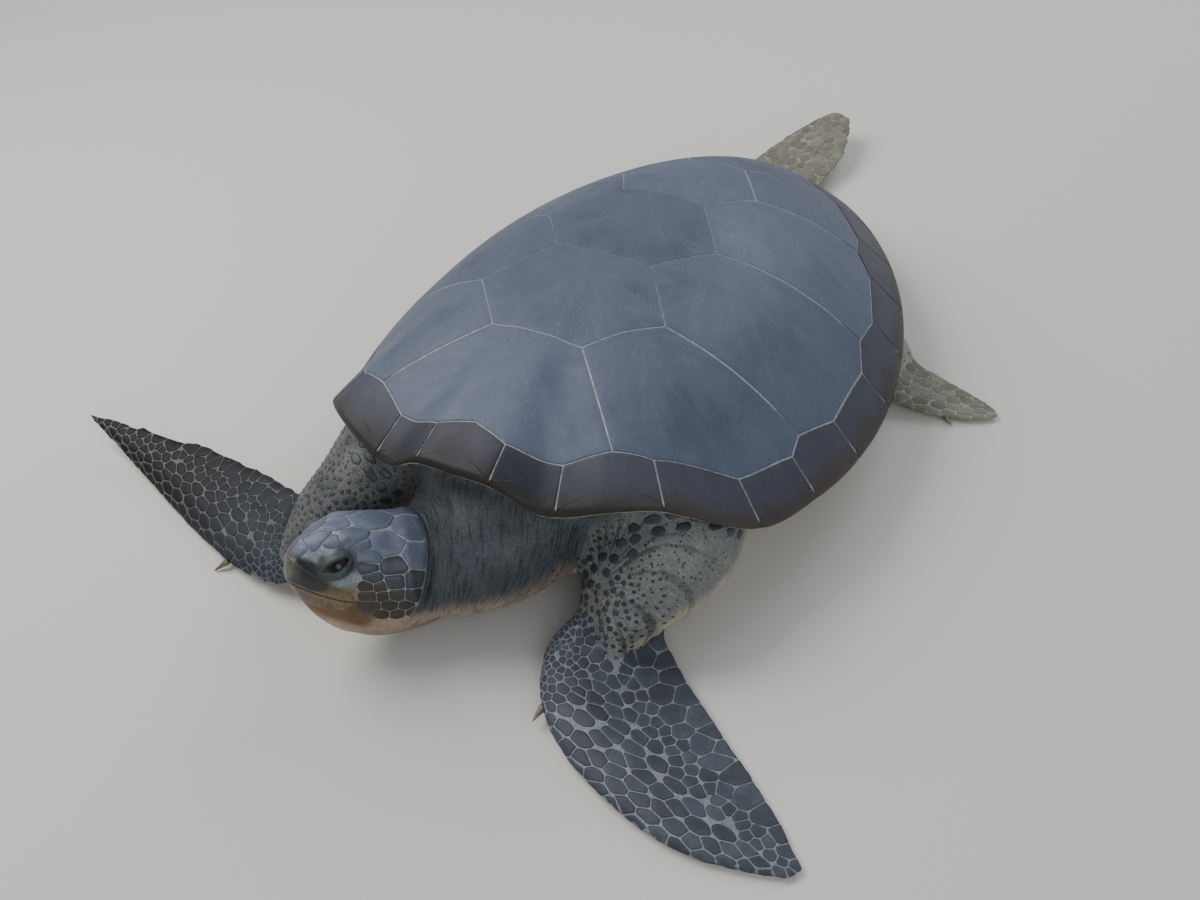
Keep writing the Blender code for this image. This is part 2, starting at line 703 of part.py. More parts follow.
def add_body(parts, cutters, shell_cut):
    plastron = add_plastron(parts)
    plastron_cut = grown(plastron, cutters)
    head_cut = add_head(parts, cutters)
    fixed = [shell_cut, plastron_cut]
    neck_cut = add_limb("neck", limb_rings, NECK, parts, cutters, SKIN, fixed + [head_cut])
    joined = [neck_cut]
    for side, arm, blade in (("left", LEFT_ARM, LEFT_BLADE), ("right", RIGHT_ARM, RIGHT_BLADE)):
        claw_cut = add_claw(f"front_claw_{side}", blade, FRONT_CLAW_LENGTH, FRONT_CLAW_RADIUS, parts, cutters)
        blade_cut = add_limb(f"front_flipper_{side}", blade_rings, blade, parts, cutters, FLIPPER,
                             fixed + [claw_cut, head_cut])
        arm_cut = add_limb(f"upper_arm_{side}", limb_rings, arm, parts, cutters, SKIN,
                           fixed + [blade_cut, neck_cut, head_cut])
        joined += [arm_cut, blade_cut]
    for side, thigh, blade in (("left", LEFT_THIGH, LEFT_HIND), ("right", RIGHT_THIGH, RIGHT_HIND)):
        claw_cut = add_claw(f"hind_claw_{side}", blade, HIND_CLAW_LENGTH, HIND_CLAW_RADIUS, parts, cutters)
        blade_cut = add_limb(f"hind_flipper_{side}", blade_rings, blade, parts, cutters, FLIPPER,
                             fixed + [claw_cut])
        thigh_cut = add_limb(f"thigh_{side}", limb_rings, thigh, parts, cutters, SKIN, fixed + [blade_cut])
        joined += [thigh_cut, blade_cut]
    tail_cut = add_limb("tail", limb_rings, TAIL, parts, cutters, SKIN, fixed + joined[-4:])
    joined.append(tail_cut)
    trunk = add_object("trunk", loft("trunk", trunk_rings()), parts, SKIN, 0.6)
    for cutter in joined:
        cut(trunk, cutter)
    bake(trunk)


def main():
    clear_scene()
    parts = new_collection("sea_turtle")
    cutters = new_collection("cutters")
    shell_cut = add_shell(parts, cutters)
    add_body(parts, cutters, shell_cut)


main()
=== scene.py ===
import json
from math import ceil, cos, hypot, pi, radians, sin

import bmesh
import bpy
import numpy as np
from mathutils import Matrix, Vector, noise
from mathutils.bvhtree import BVHTree

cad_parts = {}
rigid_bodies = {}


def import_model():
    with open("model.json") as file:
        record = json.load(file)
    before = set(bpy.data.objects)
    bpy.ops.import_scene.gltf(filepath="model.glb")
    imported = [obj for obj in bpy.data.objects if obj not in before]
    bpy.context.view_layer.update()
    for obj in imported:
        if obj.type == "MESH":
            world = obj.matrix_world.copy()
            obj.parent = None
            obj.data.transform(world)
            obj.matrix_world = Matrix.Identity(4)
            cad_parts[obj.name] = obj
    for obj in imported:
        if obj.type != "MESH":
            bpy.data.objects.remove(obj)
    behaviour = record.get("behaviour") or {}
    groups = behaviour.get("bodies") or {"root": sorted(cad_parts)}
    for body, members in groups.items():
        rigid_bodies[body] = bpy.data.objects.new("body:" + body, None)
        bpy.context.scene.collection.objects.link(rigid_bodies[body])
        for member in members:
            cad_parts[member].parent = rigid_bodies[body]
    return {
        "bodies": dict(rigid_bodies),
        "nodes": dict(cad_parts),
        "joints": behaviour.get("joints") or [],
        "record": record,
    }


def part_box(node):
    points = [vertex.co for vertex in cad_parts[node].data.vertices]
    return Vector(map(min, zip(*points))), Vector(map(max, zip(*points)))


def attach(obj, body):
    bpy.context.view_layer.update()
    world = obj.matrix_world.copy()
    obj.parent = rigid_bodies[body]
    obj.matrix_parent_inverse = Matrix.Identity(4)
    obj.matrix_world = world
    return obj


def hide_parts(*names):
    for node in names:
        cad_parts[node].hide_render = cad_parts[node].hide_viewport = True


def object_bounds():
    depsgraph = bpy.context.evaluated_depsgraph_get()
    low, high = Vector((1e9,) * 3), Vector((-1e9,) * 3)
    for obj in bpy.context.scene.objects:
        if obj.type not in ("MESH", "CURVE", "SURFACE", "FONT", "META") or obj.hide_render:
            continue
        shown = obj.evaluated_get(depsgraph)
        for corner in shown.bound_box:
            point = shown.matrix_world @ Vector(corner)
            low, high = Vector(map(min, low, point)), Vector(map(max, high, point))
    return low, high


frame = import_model()
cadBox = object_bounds()
nodes = frame["nodes"]
dice = np.random.default_rng(7)
print("frame loaded:", len(nodes), "nodes")


def smoothStep(low, high, value):
    t = np.clip((value - low) / (high - low), 0.0, 1.0)
    return t * t * (3 - 2 * t)


def mixRows(a, b, amount):
    amount = np.asarray(amount)[..., None]
    return np.asarray(a) * (1 - amount) + np.asarray(b) * amount


def makeMesh(name, points, faces):
    mesh = bpy.data.meshes.new(name)
    mesh.from_pydata([tuple(p) for p in points], [], [tuple(f) for f in faces])
    mesh.validate()
    mesh.shade_smooth()
    return mesh


def makeObject(name, mesh, material=None):
    item = bpy.data.objects.new(name, mesh)
    bpy.context.scene.collection.objects.link(item)
    if material:
        mesh.materials.append(material)
    return item


def paint(mesh, colours, name="Tint"):
    layer = mesh.color_attributes.new(name, "FLOAT_COLOR", "POINT")
    rows = np.ones((len(mesh.vertices), 4), np.float32)
    rows[:, :3] = colours
    layer.data.foreach_set("color", rows.ravel())


def addVectors(mesh, name, rows):
    layer = mesh.attributes.new(name, "FLOAT_VECTOR", "POINT")
    layer.data.foreach_set("vector", np.asarray(rows, np.float32).ravel())


def rowsOf(items, name):
    rows = np.empty(len(items) * 3, np.float32)
    items.foreach_get(name, rows)
    return rows.reshape(-1, 3).astype(float)


def pointsOf(mesh):
    return rowsOf(mesh.vertices, "co")


def normalsOf(mesh):
    return rowsOf(mesh.vertex_normals, "vector")


def setPoints(mesh, points):
    mesh.vertices.foreach_set("co", np.asarray(points, np.float32).ravel())
    mesh.update()


def edgesOf(mesh):
    rows = np.empty(len(mesh.edges) * 2, np.int32)
    mesh.edges.foreach_get("vertices", rows)
    return rows.reshape(-1, 2)


def cubicTable(table, value):
    # smooth curve through (place, height) pairs, level at both ends
    places = np.array([row[0] for row in table])
    heights = np.array([row[1] for row in table])
    slopes = np.zeros(len(table))
    slopes[1:-1] = (heights[2:] - heights[:-2]) / (places[2:] - places[:-2])
    value = np.clip(value, places[0], places[-1])
    i = np.clip(np.searchsorted(places, value, side="right") - 1, 0, len(table) - 2)
    step = places[i + 1] - places[i]
    t = (value - places[i]) / step
    rise = heights[i] * (2 * t ** 3 - 3 * t ** 2 + 1) + heights[i + 1] * (3 * t ** 2 - 2 * t ** 3)
    return rise + step * (slopes[i] * (t ** 3 - 2 * t ** 2 + t) + slopes[i + 1] * (t ** 3 - t ** 2))


stageLook = {
    "cameraAt": (1.0239, -1.5018, 1.5467),
    "cameraAlong": (-0.4512, 0.5962, -0.6640),
    "cameraUp": (-0.2599, 0.6241, 0.7369),
    "lens": 45.0,
    "sensorWidth": 36.0,
    "floorColour": (0.62, 0.60, 0.56, 1.0),
    "floorRoughness": 0.85,
    "floorSize": 14.0,
    # place, what it shines at, size, power and colour
    "lamps": {
        "keyLamp": ((-1.9, -0.4, 2.7), (0, 0, 0.1), 2.6, 92, (1.0, 0.98, 0.95)),
        "fillLamp": ((2.4, -2.2, 1.9), (0, -0.2, 0.1), 2.4, 38, (0.93, 0.97, 1.0)),
        "backLamp": ((0.6, 2.6, 2.2), (0, 0, 0.2), 2.0, 36, (0.92, 0.96, 1.0)),
    },
    "skyColour": (0.86, 0.91, 1.0, 1.0),
    "skyStrength": 0.42,
}


def lookAt(place, along, up):
    along = Vector(along).normalized()
    right = along.cross(Vector(up)).normalized()
    top = right.cross(along)
    turn = Matrix((right, top, -along)).transposed().to_4x4()
    return Matrix.Translation(place) @ turn


def addLamp(name, place, target, size, power, colour):
    lamp = bpy.data.lights.new(name, "AREA")
    lamp.shape = "DISK"
    lamp.size = size
    lamp.energy = power
    lamp.color = colour
    item = bpy.data.objects.new(name, lamp)
    item.matrix_world = lookAt(place, Vector(target) - Vector(place), (0, 0.1, 1))
    bpy.context.scene.collection.objects.link(item)


def buildStage():
    camera = bpy.data.cameras.new("camera")
    camera.lens = stageLook["lens"]
    camera.sensor_width = stageLook["sensorWidth"]
    cameraItem = bpy.data.objects.new("camera", camera)
    cameraItem.matrix_world = lookAt(stageLook["cameraAt"], stageLook["cameraAlong"], stageLook["cameraUp"])
    bpy.context.scene.collection.objects.link(cameraItem)
    bpy.context.scene.camera = cameraItem
    half = stageLook["floorSize"] / 2
    floorMesh = makeMesh("floor", [(-half, -half, 0), (half, -half, 0), (half, half, 0), (-half, half, 0)],
                         [(0, 1, 2, 3)])
    floorMaterial = bpy.data.materials.new("floor")
    floorMaterial.use_nodes = True
    shader = floorMaterial.node_tree.nodes["Principled BSDF"]
    shader.inputs["Base Color"].default_value = stageLook["floorColour"]
    shader.inputs["Roughness"].default_value = stageLook["floorRoughness"]
    makeObject("floor", floorMesh, floorMaterial)
    for name, settings in stageLook["lamps"].items():
        addLamp(name, *settings)
    world = bpy.data.worlds.new("studio")
    world.use_nodes = True
    sky = world.node_tree.nodes["Background"].inputs
    sky["Color"].default_value = stageLook["skyColour"]
    sky["Strength"].default_value = stageLook["skyStrength"]
    bpy.context.scene.world = world


buildStage()
print("stage ready")


def newShader(name, roughness, coat=0.0, specular=0.5):
    material = bpy.data.materials.new(name)
    material.use_nodes = True
    shader = material.node_tree.nodes["Principled BSDF"]
    shader.inputs["Roughness"].default_value = roughness
    shader.inputs["Coat Weight"].default_value = coat
    shader.inputs["Coat Roughness"].default_value = 0.25
    shader.inputs["Specular IOR Level"].default_value = specular
    return material


class Wiring:
    # short calls that add and join shader nodes
    def __init__(self, material):
        self.tree = material.node_tree
        self.shader = self.tree.nodes["Principled BSDF"]
        self.place = self.tree.nodes.new("ShaderNodeTexCoord").outputs["Object"]

    def join(self, source, target):
        self.tree.links.new(source, target)

    def attribute(self, name, output="Color"):
        node = self.tree.nodes.new("ShaderNodeAttribute")
        node.attribute_name = name
        return node.outputs[output]

    def noise(self, scale, detail=4.0, roughness=0.55, stretch=None, vector=None, distortion=0.0):
        node = self.tree.nodes.new("ShaderNodeTexNoise")
        node.inputs["Scale"].default_value = scale
        node.inputs["Detail"].default_value = detail
        node.inputs["Roughness"].default_value = roughness
        node.inputs["Distortion"].default_value = distortion
        vector = vector or self.place
        if stretch:
            mapping = self.tree.nodes.new("ShaderNodeMapping")
            mapping.inputs["Scale"].default_value = stretch
            self.join(vector, mapping.inputs["Vector"])
            vector = mapping.outputs["Vector"]
        self.join(vector, node.inputs["Vector"])
        return node.outputs["Fac"]

    def cells(self, scale, spread=1.0):
        node = self.tree.nodes.new("ShaderNodeTexVoronoi")
        node.inputs["Scale"].default_value = scale
        node.inputs["Randomness"].default_value = spread
        self.join(self.place, node.inputs["Vector"])
        return node.outputs["Distance"]

    def ramp(self, source, stops):
        node = self.tree.nodes.new("ShaderNodeValToRGB")
        node.color_ramp.interpolation = "EASE"
        while len(node.color_ramp.elements) < len(stops):
            node.color_ramp.elements.new(0.5)
        for element, (place, colour) in zip(node.color_ramp.elements, stops):
            element.position = place
            element.color = (*colour, 1.0) if isinstance(colour, tuple) else (colour, colour, colour, 1.0)
        self.join(source, node.inputs["Fac"])
        return node.outputs["Color"]

    def mix(self, amount, first, second, mode="MIX"):
        node = self.tree.nodes.new("ShaderNodeMix")
        node.data_type = "RGBA"
        node.blend_type = mode
        for value, socket in ((amount, node.inputs[0]), (first, node.inputs[6]), (second, node.inputs[7])):
            if isinstance(value, (int, float)):
                socket.default_value = value
            elif isinstance(value, tuple):
                socket.default_value = (*value, 1.0)
            else:
                self.join(value, socket)
        return node.outputs[2]

    def shaded(self, amount, colour, factor):
        # the colour itself where amount is 0, and the colour times the factor where it is 1
        return self.mix(amount, colour, self.mix(1.0, colour, factor, "MULTIPLY"))

    def ranged(self, source, low, high):
        node = self.tree.nodes.new("ShaderNodeMapRange")
        node.inputs["To Min"].default_value = low
        node.inputs["To Max"].default_value = high
        self.join(source, node.inputs["Value"])
        return node.outputs["Result"]

    def channels(self, source):
        node = self.tree.nodes.new("ShaderNodeSeparateColor")
        self.join(source, node.inputs["Color"])
        return node.outputs[0], node.outputs[1], node.outputs[2]

    def times(self, first, second):
        node = self.tree.nodes.new("ShaderNodeMath")
        node.operation = "MULTIPLY"
        for value, socket in ((first, node.inputs[0]), (second, node.inputs[1])):
            if isinstance(value, (int, float)):
                socket.default_value = value
            else:
                self.join(value, socket)
        return node.outputs[0]

    def bump(self, height, strength, distance, below=None):
        node = self.tree.nodes.new("ShaderNodeBump")
        node.inputs["Strength"].default_value = strength
        node.inputs["Distance"].default_value = distance
        self.join(height, node.inputs["Height"])
        if below:
            self.join(below, node.inputs["Normal"])
        return node.outputs["Normal"]

    def finish(self, colour, roughness=None, normal=None):
        self.join(colour, self.shader.inputs["Base Color"])
        if roughness is not None:
            self.join(roughness, self.shader.inputs["Roughness"])
        if normal is not None:
            self.join(normal, self.shader.inputs["Normal"])


def scuteMaterial():
    material = newShader("scutes", 0.5, specular=0.28)
    w = Wiring(material)
    rays = w.noise(3.2, detail=5, vector=w.attribute("Ray", "Vector"))
    tint = w.attribute("Tint")
    colour = w.shaded(w.ramp(rays, ((0.35, 0.0), (0.72, 0.6))), tint, (1.24, 1.23, 1.20))
    clouds = w.noise(7.0, detail=6, roughness=0.62)
    colour = w.shaded(w.ramp(clouds, ((0.45, 0.0), (0.7, 0.75))), colour, (0.66, 0.68, 0.72))
    specks = w.noise(230.0, detail=3, roughness=0.7)
    colour = w.shaded(w.ramp(specks, ((0.56, 0.0), (0.72, 0.5))), colour, (1.9, 1.85, 1.75))
    scratches = w.noise(14.0, detail=5, roughness=0.75, stretch=(1.0, 9.0, 3.0), distortion=0.6)
    colour = w.mix(w.ramp(scratches, ((0.66, 0.0), (0.78, 0.45))), colour, (0.24, 0.26, 0.28))
    normal = w.bump(w.noise(95.0, detail=5, roughness=0.65), 0.25, 0.0012)
    normal = w.bump(rays, 0.14, 0.0016, below=normal)
    normal = w.bump(scratches, 0.18, 0.0008, below=normal)
    w.finish(colour, w.ranged(w.noise(26.0, detail=4), 0.42, 0.62), normal)
    return material


def seamMaterial():
    material = newShader("seams", 0.6)
    w = Wiring(material)
    grain = w.noise(160.0, detail=3)
    tint = w.attribute("Tint")
    darker = w.mix(1.0, tint, (0.56, 0.58, 0.63), "MULTIPLY")
    colour = w.mix(w.ramp(grain, ((0.3, 0.0), (0.7, 1.0))), darker, tint)
    w.finish(colour, None, w.bump(grain, 0.3, 0.0006))
    return material


shellNodes = [n for n in nodes if n.startswith(("nuchal", "vertebral", "costal", "marginal", "supracaudal"))]
shellLow = np.min([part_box(n)[0] for n in shellNodes], axis=0)
shellHigh = np.max([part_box(n)[1] for n in shellNodes], axis=0)
shellForm = {
    "front": shellLow[1],
    "length": shellHigh[1] - shellLow[1],
    "halfWidth": shellHigh[0],
    "top": shellHigh[2],
    "widest": 0.42,
    "frontFullness": 2.4,
    "rearFullness": 1.8,
    "domePower": 2.6,
    # height of the edge against the distance along it from the middle of the nuchal scute
    "rimHeights": ((0.0, 0.280), (0.060, 0.276), (0.125, 0.243), (0.22, 0.254), (0.285, 0.243),
                   (0.412, 0.155), (0.514, 0.136), (0.62, 0.119), (0.75, 0.110), (1.10, 0.102),
                   (1.42, 0.112)),
    "rimThickness": 0.014,
    "rimRound": 0.0046,
    "plateDepth": 0.008,
    "seamRound": 0.0009,
    "seamWidth": 0.0022,
    # the bed under the plates, which shows in their seams
    "bedDepth": 0.0006,
    "bedInset": 0.0012,
    "bedPoints": 420,
    "bedRings": 34,
}
scuteMap = {
    "marginalSeams": (0.058, 0.145, 0.285, 0.412, 0.514, 0.624, 0.745, 0.865, 0.98, 1.09, 1.20, 1.31),
    "marginalWidths": ((0.0, 0.052), (0.30, 0.055), (0.42, 0.042), (0.62, 0.036), (0.80, 0.040),
                       (1.10, 0.056), (1.42, 0.064)),
    "marginalPeak": 0.012,
    "costalSeams": (0.222, 0.548, 0.800, 1.03, 1.245),
    "nuchalRear": 0.068,
    "vertebralJoins": ((0.072, 0.225), (0.078, 0.405), (0.068, 0.580), (0.050, 0.745)),
    "vertebralCorners": ((0.150, 0.312), (0.140, 0.482), (0.115, 0.655)),
    "supracaudalFront": 0.935,
}
shellMiddle = shellForm["front"] + shellForm["widest"] * shellForm["length"]
frontReach = shellMiddle - shellForm["front"]
rearReach = shellForm["length"] - frontReach


def rimPlan(angle):
    # the edge seen from above: angle 0 at the nuchal scute, pi at the rear, left side positive
    angle = np.asarray(angle, float)
    ahead = np.abs(angle) <= pi / 2
    power = 2 / np.where(ahead, shellForm["frontFullness"], shellForm["rearFullness"])
    reach = np.where(ahead, -frontReach, rearReach)
    x = np.sign(angle) * shellForm["halfWidth"] * np.abs(np.sin(angle)) ** power
    return x, shellMiddle + reach * np.abs(np.cos(angle)) ** power


rimAngles = np.linspace(0, pi, 1441)
rimX, rimY = rimPlan(rimAngles)
rimDistances = np.concatenate(([0.0], np.cumsum(np.hypot(np.diff(rimX), np.diff(rimY)))))


def domeReach(x, y):
    ahead = y <= shellMiddle
    power = np.where(ahead, shellForm["frontFullness"], shellForm["rearFullness"])
    along = np.abs(y - shellMiddle) / np.where(ahead, frontReach, rearReach)
    return (np.abs(x / shellForm["halfWidth"]) ** power + along ** power) ** (1 / power)


def domeHeight(x, y):
    ahead = y <= shellMiddle
    power = np.where(ahead, shellForm["frontFullness"], shellForm["rearFullness"])
    reach = domeReach(x, y)
    ratio = np.clip(np.abs(x) / (shellForm["halfWidth"] * np.maximum(reach, 1e-6)), 0, 1)
    angle = np.arcsin(ratio ** (power / 2))
    angle = np.where(ahead, angle, pi - angle)
    rim = cubicTable(shellForm["rimHeights"], np.interp(angle, rimAngles, rimDistances))
    return shellForm["top"] - (shellForm["top"] - rim) * reach ** shellForm["domePower"]


def rimPoint(distance):
    x, y = rimPlan(np.interp(distance, rimDistances, rimAngles))
    return np.array((float(x), float(y)))


def innerSeam(distance, peak=0.0):
    ahead, behind = rimPoint(distance - 0.004), rimPoint(distance + 0.004)
    run = behind - ahead
    run = run / np.hypot(*run)
    width = float(cubicTable(scuteMap["marginalWidths"], distance)) + peak
    return rimPoint(distance) + np.array((-run[1], run[0])) * width


def plan(corner):
    return np.array((corner[0], shellForm["front"] + corner[1]))


def flipped(corners):
    return [np.array((-p[0], p[1])) for p in reversed(corners)]


def costalCorners():
    seams = scuteMap["marginalSeams"]
    meets = [innerSeam(d, scuteMap["marginalPeak"]) for d in scuteMap["costalSeams"]]
    joins = [plan(p) for p in scuteMap["vertebralJoins"]]
    peaks = [plan(p) for p in scuteMap["vertebralCorners"]]
    inward = ([peaks[0], joins[0]], [peaks[1], joins[1], peaks[0]], [peaks[2], joins[2], peaks[1]],
              [joins[3], peaks[2]])
    result = []
    for i in range(4):
        low, high = scuteMap["costalSeams"][i:i + 2]
        edge = [innerSeam(d) for d in seams if low < d < high]
        result.append([meets[i], *edge, meets[i + 1], *inward[i]])
    return result


def vertebralCorners():
    seams = scuteMap["marginalSeams"]
    meets = [innerSeam(d, scuteMap["marginalPeak"]) for d in scuteMap["costalSeams"]]
    joins = [plan(p) for p in scuteMap["vertebralJoins"]]
    peaks = [plan(p) for p in scuteMap["vertebralCorners"]]
    halves = [[innerSeam(seams[0]), innerSeam(seams[1]), meets[0], joins[0]]]
    halves += [[joins[i], peaks[i], joins[i + 1]] for i in range(3)]
    halves.append([joins[3], meets[4], innerSeam(seams[11])])
    result = [half + flipped(half) for half in halves]
    result[0].append(plan((0.0, scuteMap["nuchalRear"])))
    result[4].insert(3, plan((0.0, scuteMap["supracaudalFront"])))
    return result


def rimRun(start, end):
    # points along the edge between two distances; negative is the right side
    count = max(int(abs(end - start) / 0.006), 4)
    points = []
    for d in np.linspace(start, end, count + 1):
        point = rimPoint(abs(d))
        points.append(np.array((point[0] if d >= 0 else -point[0], point[1])))
    return points


def marginalCorners():
    result = []
    seams = scuteMap["marginalSeams"]
    for start, end in zip(seams, seams[1:]):
        meets = [innerSeam(d, scuteMap["marginalPeak"]) for d in scuteMap["costalSeams"] if start < d < end]
        result.append([innerSeam(start), *meets, innerSeam(end), *rimRun(end, start)])
    return result


def endCorners():
    first, last = scuteMap["marginalSeams"][0], scuteMap["marginalSeams"][-1]
    inner = innerSeam(first)
    nuchal = [inner, *rimRun(first, -first), inner * (-1, 1), plan((0.0, scuteMap["nuchalRear"]))]
    tail = [plan((0.0, scuteMap["supracaudalFront"])), innerSeam(last), *rimRun(last, rimDistances[-1])]
    return nuchal, tail


def plateOutline(corners, gap, spacing=0.005):
    # dense closed outline, pulled in by the gap, with the inward normal and 1 where it is the shell's edge
    area = sum(a[0] * b[1] - b[0] * a[1] for a, b in zip(corners, corners[1:] + corners[:1]))
    corners = corners if area > 0 else corners[::-1]
    points = []
    for a, b in zip(corners, corners[1:] + corners[:1]):
        count = max(int(ceil(hypot(*(b - a)) / spacing)), 1)
        points += [a + (b - a) * k / count for k in range(count)]
    points = np.array(points)
    ahead, behind = np.roll(points, -1, 0) - points, points - np.roll(points, 1, 0)
    ahead /= np.linalg.norm(ahead, axis=1)[:, None]
    behind /= np.linalg.norm(behind, axis=1)[:, None]
    normal = np.stack((-(ahead + behind)[:, 1], (ahead + behind)[:, 0]), 1)
    normal /= np.linalg.norm(normal, axis=1)[:, None]
    lean = np.clip(np.abs(normal[:, 0] * -ahead[:, 1] + normal[:, 1] * ahead[:, 0]), 0.45, 1)
    onRim = smoothStep(0.990, 0.998, domeReach(points[:, 0], points[:, 1]))
    return points + normal * (gap * (1 - onRim) / lean)[:, None], normal / lean[:, None], onRim


def platePoints(outline, normal, onRim, centre, sink=0.0, inset=0.0, steps=14):
    # rings from the middle of the top, over the rounded edge, to the middle of the underside
    gradual = onRim
    for _ in range(10):
        gradual = (np.roll(gradual, 1) + 2 * gradual + np.roll(gradual, -1)) / 4
    roundness = shellForm["seamRound"] + (shellForm["rimRound"] - shellForm["seamRound"]) * gradual
    thick = shellForm["plateDepth"] + (shellForm["rimThickness"] - shellForm["plateDepth"]) * gradual
    outline = outline + normal * inset
    rings = []
    inward = np.concatenate((np.linspace(0.97, 0.2, steps), [0.08]))

    def addAt(plan2, drop):
        x, y = plan2[:, 0], plan2[:, 1]
        deeper = 1 + 2 * smoothStep(0.86, 0.94, domeReach(x, y))
        rings.append(np.column_stack((plan2, domeHeight(x, y) - sink * deeper - drop)))

    def addRing(across, drop):
        addAt(outline + normal * (roundness * across)[:, None], drop)

    def addInner(fraction, drop):
        edge = outline + normal * roundness[:, None]
        addAt(edge + (centre - edge) * fraction, drop)

    for fraction in inward:
        addInner(fraction, 0.0)
    for turn in (90, 60, 35, 12, 0):
        addRing(np.full(len(outline), 1 - cos(radians(turn))), roundness * (1 - sin(radians(turn))))
    for turn in (0, 35, 65, 90):
        drop = thick - roundness * (1 - sin(radians(turn)))
        addRing(np.full(len(outline), 1 - cos(radians(turn))), drop)
    for fraction in (0.15, 0.5, 0.9):
        addInner(fraction, thick)
    return rings


def ringMesh(name, rings):
    count = len(rings[0])
    points = [p for ring in rings for p in ring]
    faces = []
    for k in range(len(rings) - 1):
        for i in range(count):
            j = (i + 1) % count
            faces.append((k * count + i, (k + 1) * count + i, (k + 1) * count + j, k * count + j))
    for ring, flip in ((0, False), (len(rings) - 1, True)):
        middle = len(points)
        points.append(rings[ring].mean(0))
        for i in range(count):
            a, b = ring * count + i, ring * count + (i + 1) % count
            faces.append((a, b, middle) if not flip else (b, a, middle))
    return makeMesh(name, points, faces)


plateLook = {
    # the plates' own slate, made lighter and bluer by painted reflection of the sky
    "slate": (0.080, 0.098, 0.140),
    "rimSlate": (0.050, 0.052, 0.072),
    "rimOlive": (0.046, 0.038, 0.034),
    "under": (0.52, 0.46, 0.30),
    "underSpot": (0.07, 0.075, 0.075),
    "oliveReach": (0.940, 1.005),
    # the band at the front where the rim is darkened, and by how much: painted shade
    "frontSpan": (-0.36, -0.46),
    "frontShade": 0.46,
    "underDepth": (0.0092, 0.0118),
    "seam": (0.36, 0.37, 0.35),
    "innerSeam": (0.125, 0.145, 0.170),
    "seamReach": (0.25, 0.66),
    # how far the growth rays start from the middle of a plate, outward or forward
    "edgeUmbo": 0.04,
    "costalUmbo": (0.08, 0.05),
    "vertebralUmbo": 0.05,
    "raySpread": 2.2,
    "rayRings": 5,
}


def underShare(points):
    depth = domeHeight(points[:, 0], points[:, 1]) - points[:, 2]
    return smoothStep(*plateLook["underDepth"], depth)


def plateColours(points, centre, outerBand):
    x, y = points[:, 0], points[:, 1]
    reach = domeReach(x, y)
    slate = np.array(plateLook["slate"]) * dice.uniform(0.9, 1.12)
    colours = np.tile(slate, (len(points), 1))
    if outerBand:
        grain = np.array([noise.noise(Vector((p[0] * 16, p[1] * 16, 3.0))) for p in points])
        olive = smoothStep(*plateLook["oliveReach"], reach + grain * 0.018)
        colours = mixRows(plateLook["rimSlate"], plateLook["rimOlive"], olive)
        # painted shade: the rim darkened toward the front
        colours = mixRows(colours, colours * plateLook["frontShade"], smoothStep(*plateLook["frontSpan"], y))
        under = underShare(points)
        colours = mixRows(colours, plateLook["under"], under)
        spot = smoothStep(0.030, 0.020, np.hypot(x - centre[0], y - centre[1]) + grain * 0.01)
        colours = mixRows(colours, plateLook["underSpot"], under * spot)
    return colours


def addPlate(node, corners, material, umbo=None):
    # the growth rays spread from the umbo, which on an edge plate is at its outer edge
    outline, normal, onRim = plateOutline(corners, shellForm["seamWidth"] / 2)
    centre = outline.mean(0)
    if umbo is None:
        outward = centre - (0, shellMiddle)
        umbo = outward * plateLook["edgeUmbo"] / np.hypot(*outward)
    mesh = ringMesh(node + "_plate", platePoints(outline, normal, onRim, centre))
    points = pointsOf(mesh)
    paint(mesh, plateColours(points, centre, onRim.any()))
    away = points[:, :2] - (centre + umbo)
    reach = np.hypot(away[:, 0], away[:, 1])
    turn = np.arctan2(away[:, 1], away[:, 0])
    seed = dice.uniform(0, 50)
    spread = plateLook["raySpread"]
    rings = reach * plateLook["rayRings"] + seed
    addVectors(mesh, "Ray", np.column_stack((np.cos(turn) * spread, np.sin(turn) * spread, rings)))
    plate = makeObject(node + "_plate", mesh, material)
    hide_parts(node)
    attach(plate, "root")
    return plate


def buildShell():
    material = scuteMaterial()
    nuchal, tail = endCorners()
    addPlate("nuchal", nuchal, material)
    for number, corners in enumerate(vertebralCorners(), 1):
        addPlate(f"vertebral_{number}", corners, material, np.array((0, plateLook["vertebralUmbo"])))
    for side, turn in (("left", list), ("right", flipped)):
        costalUmbo = np.array(plateLook["costalUmbo"]) * ((-1, 1) if side == "left" else (1, 1))
        for number, corners in enumerate(costalCorners(), 1):
            addPlate(f"costal_{side}_{number}", turn(corners), material, costalUmbo)
        for number, corners in enumerate(marginalCorners(), 1):
            addPlate(f"marginal_{side}_{number}", turn(corners), material)
        addPlate(f"supracaudal_{side}", turn(tail), material)
    around = np.linspace(-rimDistances[-1], rimDistances[-1], shellForm["bedPoints"], endpoint=False)
    edge = [rimRun(d, d)[0] for d in around]
    outline, normal, onRim = plateOutline(edge, 0.0, spacing=0.02)
    rings = platePoints(outline, normal, onRim, np.array((0.0, shellMiddle)), shellForm["bedDepth"],
                        shellForm["bedInset"], shellForm["bedRings"])
    mesh = ringMesh("shell_seams", rings)
    points = pointsOf(mesh)
    share = smoothStep(*plateLook["seamReach"], domeReach(points[:, 0], points[:, 1]))
    colours = mixRows(plateLook["innerSeam"], plateLook["seam"], share)
    paint(mesh, mixRows(colours, plateLook["under"], underShare(points)))
    bed = makeObject("shell_seams", mesh, seamMaterial())
    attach(bed, "root")


buildShell()
print("shell ready")


